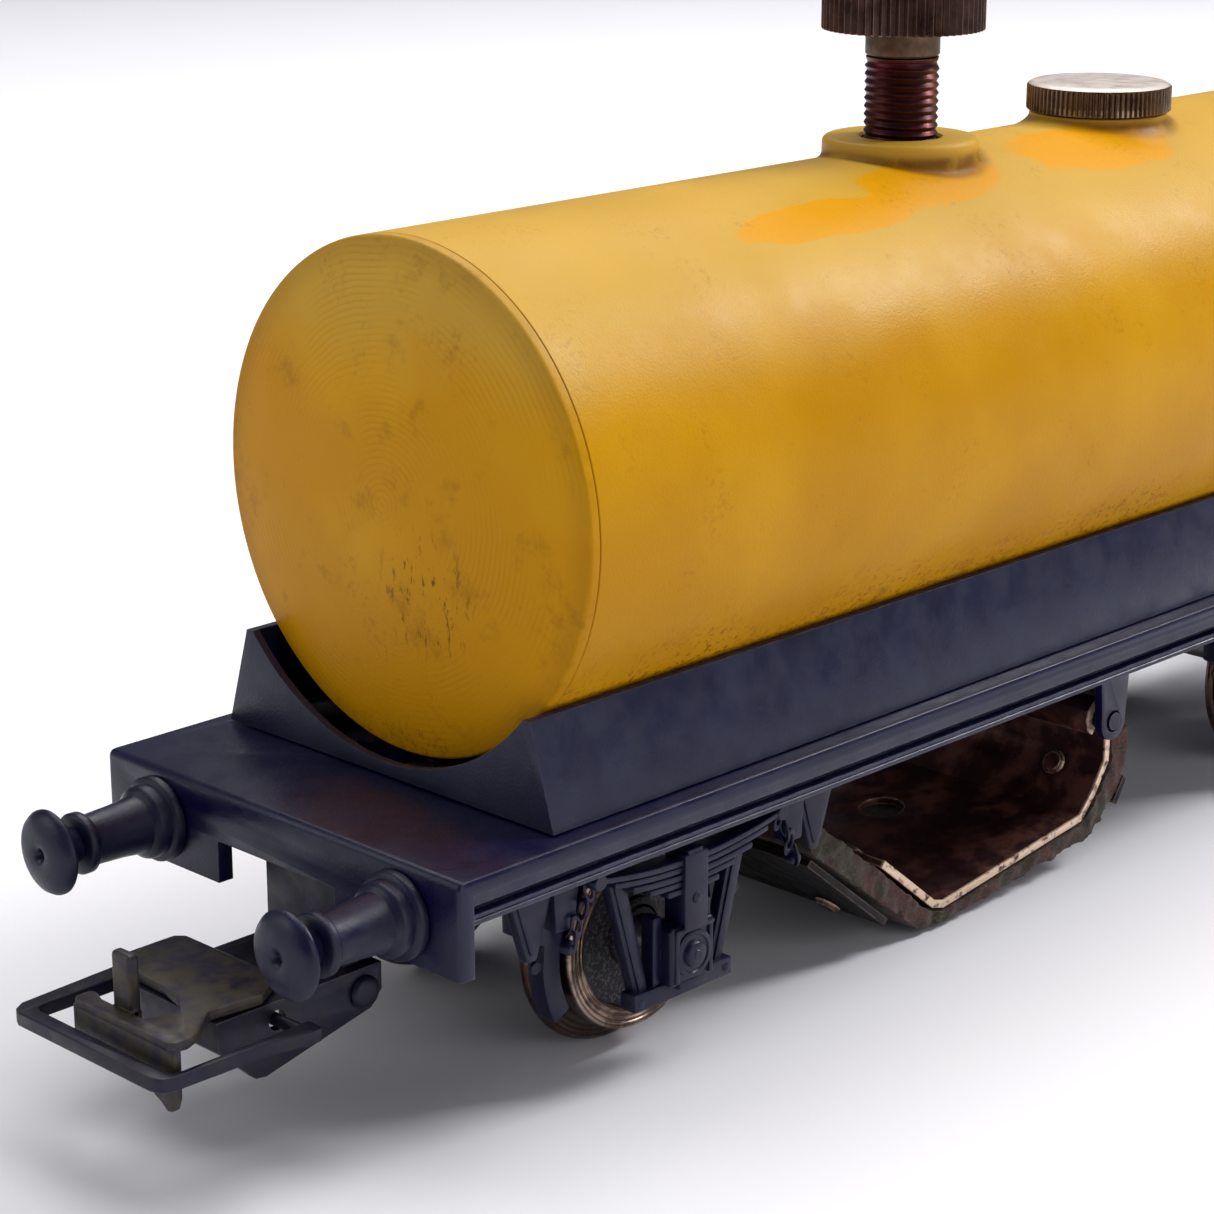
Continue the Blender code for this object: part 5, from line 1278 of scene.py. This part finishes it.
    def brakes(self) -> None:
        """Model the two brake hangers with blocks that follow the tread, and the arms that carry them."""
        reach = span("wheel_front_left")[1].y - 0.2
        tread, knee = TREAD_RADIUS + self.brake_gap, self.knee
        for end in (1, -1):
            face = arc((0, self.axle), tread, 27, -29, 12)
            back = arc((0, self.axle), tread + self.shoe, -29, 10, 8)
            root = self.roof - 0.35
            points = [(knee + 0.2, root)] + face + back + [(knee + 2.0, self.axle + 2.4), (knee + 2.2, root)]
            shoe = Bench.plate("shoe", Plane.XZ, [(end * x, z) for x, z in points], reach - self.shoe, reach)
            self.add(shoe, 0.1)
            self.add(Bench.block("arm", (end * (knee + 0.4), end * (knee + 2.0)),
                                 (reach - 0.5, self.inner + 0.4),
                                 (self.roof - 1.0, self.roof - 0.05)), 0.1)
            pin = [(0, reach - 0.1), (0.35, reach - 0.1), (0.35, reach + 0.12), (0, reach + 0.18)]
            self.add(Bench.turn("pin", Axis.Y, pin, 12, (end * (knee + 0.75), 0.0, self.axle + 0.3)), 0.0)


# ---- wheelsets ---------------------------------------------------------------------------------------
@dataclass
class Wheelsets(Assembly):
    """Four turned wheels with grooved rims and speckled webs, on axles with insulating bushes."""

    steps: int = 96
    tread: float = TREAD_RADIUS
    rim_inner: float = 4.5
    groove: float = 0.05

    def build(self) -> None:
        """Turn the wheels and dress the axles and bushes."""
        for along in ("front", "rear"):
            body = f"wheelset_{along}"
            for across in ("left", "right"):
                bore = 1.65 if across == "left" else 1.15
                self.wheel(f"wheel_{along}_{across}", f"rim_{along}_{across}", bore, body)
            self.softened(f"axle_{along}", f"shaft_{along}", 0.05, "plain_steel", body, Slot.STEEL)
            self.dress(f"insulating_bush_{along}", "insulating")

    def wheel(self, node: str, name: str, bore: float, body: str) -> None:
        """Turn one wheel.

        Args:
            node: The CAD node that it replaces.
            name: The new piece's name.
            bore: The radius of its hole.
            body: The wheelset that it turns with.
        """
        low, high = span(node)
        side = 1 if high.y > 0 else -1
        back, face = (low.y, high.y) if side > 0 else (-high.y, -low.y)
        flange = (high.z - low.z) / 2
        rim, tread, cut = self.rim_inner, self.tread, self.groove
        profile = [
            (bore, back + 0.1), (2.1, back + 0.1), (2.3, back + 0.7), (rim - 0.25, back + 0.7),
            (rim - 0.05, back + 0.05),
            (rim + 0.1, back), (flange - 0.35, back), (flange - 0.12, back + 0.08),
            (flange - 0.01, back + 0.3),
            (flange - 0.06, back + 0.48), (flange - 0.25, back + 0.68), (tread + 0.32, back + 0.92),
            (tread + 0.12, back + 1.12), (tread, back + 1.3), (tread - 0.03, face - 0.22),
            (tread - 0.1, face - 0.06),
            (tread - 0.24, face),
        ]
        for r in (tread - 0.42, tread - 0.68, tread - 0.94):
            profile += [(r, face), (r - 0.04, face - cut), (r - 0.10, face - cut), (r - 0.14, face)]
        profile += [(rim + 0.05, face), (rim - 0.06, face - 0.08), (rim - 0.16, face - 0.5),
                    (rim - 0.3, face - 0.55),
                    (2.25, face - 0.55), (2.1, face - 0.48), (2.05, face - 0.15), (1.95, face - 0.1),
                    (bore, face - 0.1)]
        centre = ((low.x + high.x) / 2, 0.0, (low.z + high.z) / 2)
        piece = Bench.turn(name, Axis.Y, [(r, side * y) for r, y in profile], self.steps, centre)
        self.finish(piece, "wheel_metal", body, Slot.NICKEL, (node,), 28.0)


# ---- couplers ----------------------------------------------------------------------------------------
@dataclass
class Couplers(Assembly):
    """The two swinging couplers: arm, stamped head, rivet, screw and lifting loop."""

    fold: float = 0.14
    sheet: float = 0.6
    finger: float = 3.1

    def build(self) -> None:
        """Round the folds of the sheet parts and turn the rivets."""
        for along in ("front", "rear"):
            body = f"coupler_{along}"
            self.softened(f"coupler_arm_{along}", f"drawbar_{along}", self.fold, "dark_steel", body,
                          Slot.COUPLER, 3)
            self.head(f"coupler_head_{along}", f"hook_plate_{along}", body)
            self.loop(f"coupler_loop_{along}", f"loop_{along}")
            self.rivet(f"coupler_rivet_{along}", f"cross_rivet_{along}", body)
            self.dress(f"coupler_screw_{along}", "plain_steel")

    def head(self, node: str, name: str, body: str) -> None:
        """Cut the C-shaped plate, fold its apron with the side hook, and raise the finger.

        Args:
            node: The CAD node that it replaces.
            name: The new piece's name.
            body: The coupler that it rides on.
        """
        low, high = span(node)
        back, front, rear = self.reach(low.x, high.x)
        half = max(abs(low.y), high.y)
        base = high.z - self.finger - self.sheet
        top = base + self.sheet
        gap_rear, gap_front = front - 4.4, front - 1.0
        outline = [(rear, -half + 0.5), (rear + 0.5, -half), (gap_rear - 1.2, -half),
                   (gap_rear - 0.5, -half + 0.35)]
        outline += [(gap_rear - 0.15, -half + 1.2), (gap_rear, -2.6), (gap_rear + 0.1, -0.6),
                    (gap_rear + 0.45, 0.9)]
        outline += [(gap_rear + 1.1, 1.8), (gap_rear + 2.0, 2.25), (gap_front - 0.5, 2.2), (gap_front, 1.7)]
        outline += [(gap_front, -1.6), (gap_front - 0.35, -2.6), (gap_front - 0.2, -3.0), (front - 0.3, -3.0)]
        outline += [(front, -2.7), (front, half - 0.6), (front - 0.35, half - 0.2),
                    (front - 1.0, half - 0.12)]
        outline += [(front - 1.9, half - 0.45), (front - 2.9, half - 1.25), (front - 3.9, half - 2.0)]
        outline += [(front - 4.9, half - 1.9), (rear + 2.2, 4.0), (rear + 0.5, 3.0), (rear, 1.6)]
        plate = Bench.ease(Bench.plate(name, Plane.XY, outline, base, top), 0.12, 2)
        low_edge, tip = low.z + 1.6, low.z
        skirt = [(-2.95, base + 0.3), (-2.95, low_edge + 0.25), (-2.2, low_edge), (0.4, low_edge - 0.1)]
        skirt += [(2.2, low_edge - 0.3), (3.5, low_edge - 0.8), (4.4, tip + 0.35), (4.9, tip),
                  (5.3, tip + 0.1)]
        skirt += [(half - 0.15, tip + 0.8), (half - 0.12, base + 0.3)]
        apron = Bench.plate("apron", Plane.YZ, skirt, front - self.sheet, front - 0.01)
        apron = Bench.ease(apron, 0.14, 3)
        finger = Bench.block("finger", (front - 1.7, front - 0.95), (-0.7, 0.9), (base + 0.02, high.z))
        finger = Bench.ease(finger, 0.26, 4)
        tab = Bench.ease(Bench.block("tab", (front - 1.7, front - 0.5), (-0.7, 0.9),
                                     (base + 0.01, top - 0.01)), 0.08)
        piece = Bench.join(name, plate, apron, finger, tab)
        if back:
            piece = self.turned_about(piece, name)
        self.finish(piece, "olive_steel", body, Slot.COUPLER, (node,), 40.0)

    def loop(self, node: str, name: str) -> None:
        """Cut the lifting loop, with a thin arm at the hook's side and a broad flared one at the other.

        Args:
            node: The CAD node that it replaces, which also names its body.
            name: The new piece's name.
        """
        low, high = span(node)
        back, front, rear = self.reach(low.x, high.x)
        side = high.y
        inner = side - 1.5
        outline = [(rear + 0.1, side - 0.35), (rear + 0.9, side - 0.3), (rear + 3.0, inner + 0.62)]
        outline += [(front - 0.9, inner + 0.42), (front - 0.3, inner + 0.15), (front, inner - 0.5)]
        outline += [(front, -inner - 0.1), (front - 0.25, -inner - 0.6), (front - 0.9, -inner - 1.0)]
        outline += [(rear + 4.0, 0.2 - side), (rear + 0.4, -side), (rear, 0.5 - side), (rear, -inner)]
        outline += [(front - 1.7, -inner)]
        outline += [(front - 1.2, 0.15 - inner), (front - 1.0, 0.6 - inner), (front - 1.0, inner - 0.7)]
        outline += [(front - 1.2, inner - 0.2), (front - 1.6, inner), (rear, inner), (rear, side - 0.5)]
        bar = Bench.ease(Bench.plate(name, Plane.XY, outline, low.z, high.z), self.fold, 3)
        middle = (low.z + high.z) / 2
        reach = inner + 0.3
        pin = [(0, -reach), (0.36, -reach), (0.36, reach), (0, reach)]
        pivot = Bench.turn("pivot", Axis.Y, pin, 24, (rear + 0.6, 0.0, middle))
        piece = Bench.join(name, bar, pivot)
        if back:
            piece = self.turned_about(piece, name)
        self.finish(piece, "dark_steel", name, Slot.COUPLER, (node,), 40.0)

    @staticmethod
    def reach(low: float, high: float) -> tuple[bool, float, float]:
        """Return whether a piece is at the rear, and how far its front and its rear end lie from the middle."""
        return (True, -low, -high) if high < 0 else (False, high, low)

    @staticmethod
    def turned_about(piece: bpy.types.Object, name: str) -> bpy.types.Object:
        """Return the piece turned half round for the wagon's other end."""
        turned = Bench.copy(piece, name, HALF_TURN)
        bpy.data.objects.remove(piece)
        turned.name = name
        return turned

    def rivet(self, node: str, name: str, body: str) -> None:
        """Turn the cross rivet with a domed head at each side.

        Args:
            node: The CAD node that it replaces.
            name: The new piece's name.
            body: The coupler that it rides on.
        """
        low, high = span(node)
        centre = ((low.x + high.x) / 2, 0.0, (low.z + high.z) / 2)
        end, seat = high.y, high.y - 0.35
        head = [(0.95, seat), (0.93, seat + 0.12), (0.78, seat + 0.26), (0.5, end - 0.02), (0, end)]
        profile = [(0, -end)] + [(r, -y) for r, y in reversed(head[:-1])] + [(0.6, -seat), (0.6, seat)] + head
        piece = Bench.turn(name, Axis.Y, profile, 32, centre)
        self.finish(piece, "dark_steel", body, Slot.COUPLER, (node,), 40.0)


# ---- cleaning pad ------------------------------------------------------------------------------------
@dataclass
class CleaningPad(Assembly):
    """The hinged brass trough with the felt that is wrapped under it, its clips, rivets and bracket."""

    voxel: float = 0.32
    fray: float = 0.28
    dent: float = 0.20

    def build(self) -> None:
        """Build the pad."""
        self.softened("pad_holder", "trough", 0.08, "sheet_brass", "pad", Slot.BRASS)
        self.softened("pad_clip_front", "clip_front", 0.1, "clip_brass", "pad", Slot.BRONZE)
        self.softened("pad_clip_rear", "clip_rear", 0.1, "clip_brass", "pad", Slot.BRONZE)
        self.softened("pad_bracket", "hinge_bracket", 0.08, "frame_enamel", "wagon", Slot.FRAME)
        for along in ("front", "rear"):
            for across in ("left", "right"):
                self.dress(f"pad_rivet_{along}_{across}", "sheet_brass")
        self.dress("pad_hinge_rod", "dark_steel")
        self.felt()

    def felt(self) -> None:
        """Model the felt: its faces wander, its cut ends fray and its underside stays flat on the rail."""
        low, high = span("felt_pad")
        piece = Bench.from_node("felt_pad", "felt_wrap")
        Bench.pick(piece)
        grid = piece.modifiers.new("grid", "REMESH")
        grid.mode = "VOXEL"
        grid.voxel_size = self.voxel
        bpy.ops.object.modifier_apply(modifier=grid.name)
        relax = piece.modifiers.new("relax", "SMOOTH")
        relax.iterations = 2
        bpy.ops.object.modifier_apply(modifier=relax.name)
        half = high.y
        normals = [vertex.normal.copy() for vertex in piece.data.vertices]
        for vertex, normal in zip(piece.data.vertices, normals):
            spot = vertex.co
            coarse = noise.fractal(spot * 0.55, 1.0, 2.0, 4)
            fine = noise.fractal(spot * 2.1, 1.0, 2.0, 3)
            depth = self.dent * (0.5 + 0.5 * coarse) + 0.10 * (0.5 + 0.5 * fine)
            moved = spot - normal * max(0.0, depth)
            edge = abs(spot.y) > half - 0.8
            if edge:
                pull = self.fray * (0.5 + 0.9 * noise.noise(Vector((spot.x * 1.4, spot.y, spot.z * 1.4))))
                moved.y -= math.copysign(max(0.0, pull), spot.y)
            moved.z = max(moved.z, low.z)
            vertex.co = moved
        piece.data.update()
        self.finish(piece, "felt_wool", "pad", Slot.FELT, ("felt_pad",), 60.0)


# ---- studio ------------------------------------------------------------------------------------------
@dataclass
class Studio:
    """The plain floor, the soft lights and the camera."""

    camera_place: tuple[float, float, float] = (150.71, 121.74, 76.01)
    pitch: float = 17.07
    yaw: float = 224.36
    lens: float = 91.41
    floor_size: float = 6.0

    def build(self) -> None:
        """Set up the studio."""
        self.floor()
        self.light("overhead", (-0.22, -0.12, 0.60), (0.0, 0.0, 0.02), 0.70, 5.0)
        self.light("back_strip", (-0.50, 0.22, 0.46), (0.0, 0.0, 0.03), 0.20, 3.4)
        self.light("side_fill", (0.05, 0.60, 0.25), (0.0, 0.0, 0.03), 0.45, 0.9)
        self.light("front_fill", (0.45, -0.30, 0.30), (0.0, 0.0, 0.03), 0.40, 0.8)
        self.world()
        self.camera()
        bpy.context.scene.view_settings.view_transform = "Standard"

    def floor(self) -> None:
        """Lay the pale floor."""
        Bench.clear()
        bpy.ops.mesh.primitive_plane_add(size=self.floor_size, location=(0.0, 0.0, 0.0))
        sheet = bpy.context.object
        sheet.name = "floor"
        board = Board("floor_paper")
        specks = board.step(board.grain(1.2, 4.0, 0.7), 0.70, 0.78)
        colour = board.mix(board.sum("MULTIPLY", specks, 0.25), (0.80, 0.795, 0.83), (0.50, 0.50, 0.54))
        board.bump(board.grain(6.0, 4.0), 0.05, 0.2)
        sheet.data.materials.append(board.give(Base_Color=colour, Roughness=0.75))

    def light(self, name: str, place: Colour, target: Colour, size: float, power: float) -> None:
        """Hang a soft square light.

        Args:
            name: The light's name.
            place: Where it hangs, in metres.
            target: What it points at.
            size: The side of its square.
            power: Its power in watts.
        """
        Bench.clear()
        bpy.ops.object.light_add(type="AREA", location=place)
        lamp = bpy.context.object
        lamp.name = lamp.data.name = name
        lamp.data.shape = "SQUARE"
        lamp.data.size = size
        lamp.data.energy = power
        aim = Vector(target) - Vector(place)
        lamp.rotation_euler = aim.to_track_quat("-Z", "Y").to_euler()

    def world(self) -> None:
        """Fill the room with even, faintly blue light."""
        room = bpy.data.worlds.new("room")
        room.use_nodes = True
        sky = room.node_tree.nodes["Background"]
        sky.inputs["Color"].default_value = (0.90, 0.90, 1.0, 1.0)
        sky.inputs["Strength"].default_value = 0.17
        bpy.context.scene.world = room

    def camera(self) -> None:
        """Stand the camera at the wagon's front left corner."""
        Bench.clear()
        bpy.ops.object.camera_add(location=[value * MM for value in self.camera_place])
        view = bpy.context.object
        view.name = "camera"
        view.rotation_euler = (math.radians(90.0 - self.pitch), 0.0, math.radians(self.yaw - 90.0))
        view.data.lens = self.lens
        view.data.sensor_width = 36.0
        view.data.clip_start = 0.005
        bpy.context.scene.camera = view


def main() -> None:
    """Build the wagon's looks round the frame, then the studio."""
    logging.basicConfig(level=logging.INFO, format="%(name)s: %(message)s")
    palette = Palette()
    for assembly in (Tank, Valve, Underframe, Axleguards, Wheelsets, Couplers, CleaningPad):
        assembly(palette).build()
    Studio().build()


if __name__ == "__main__":
    main()
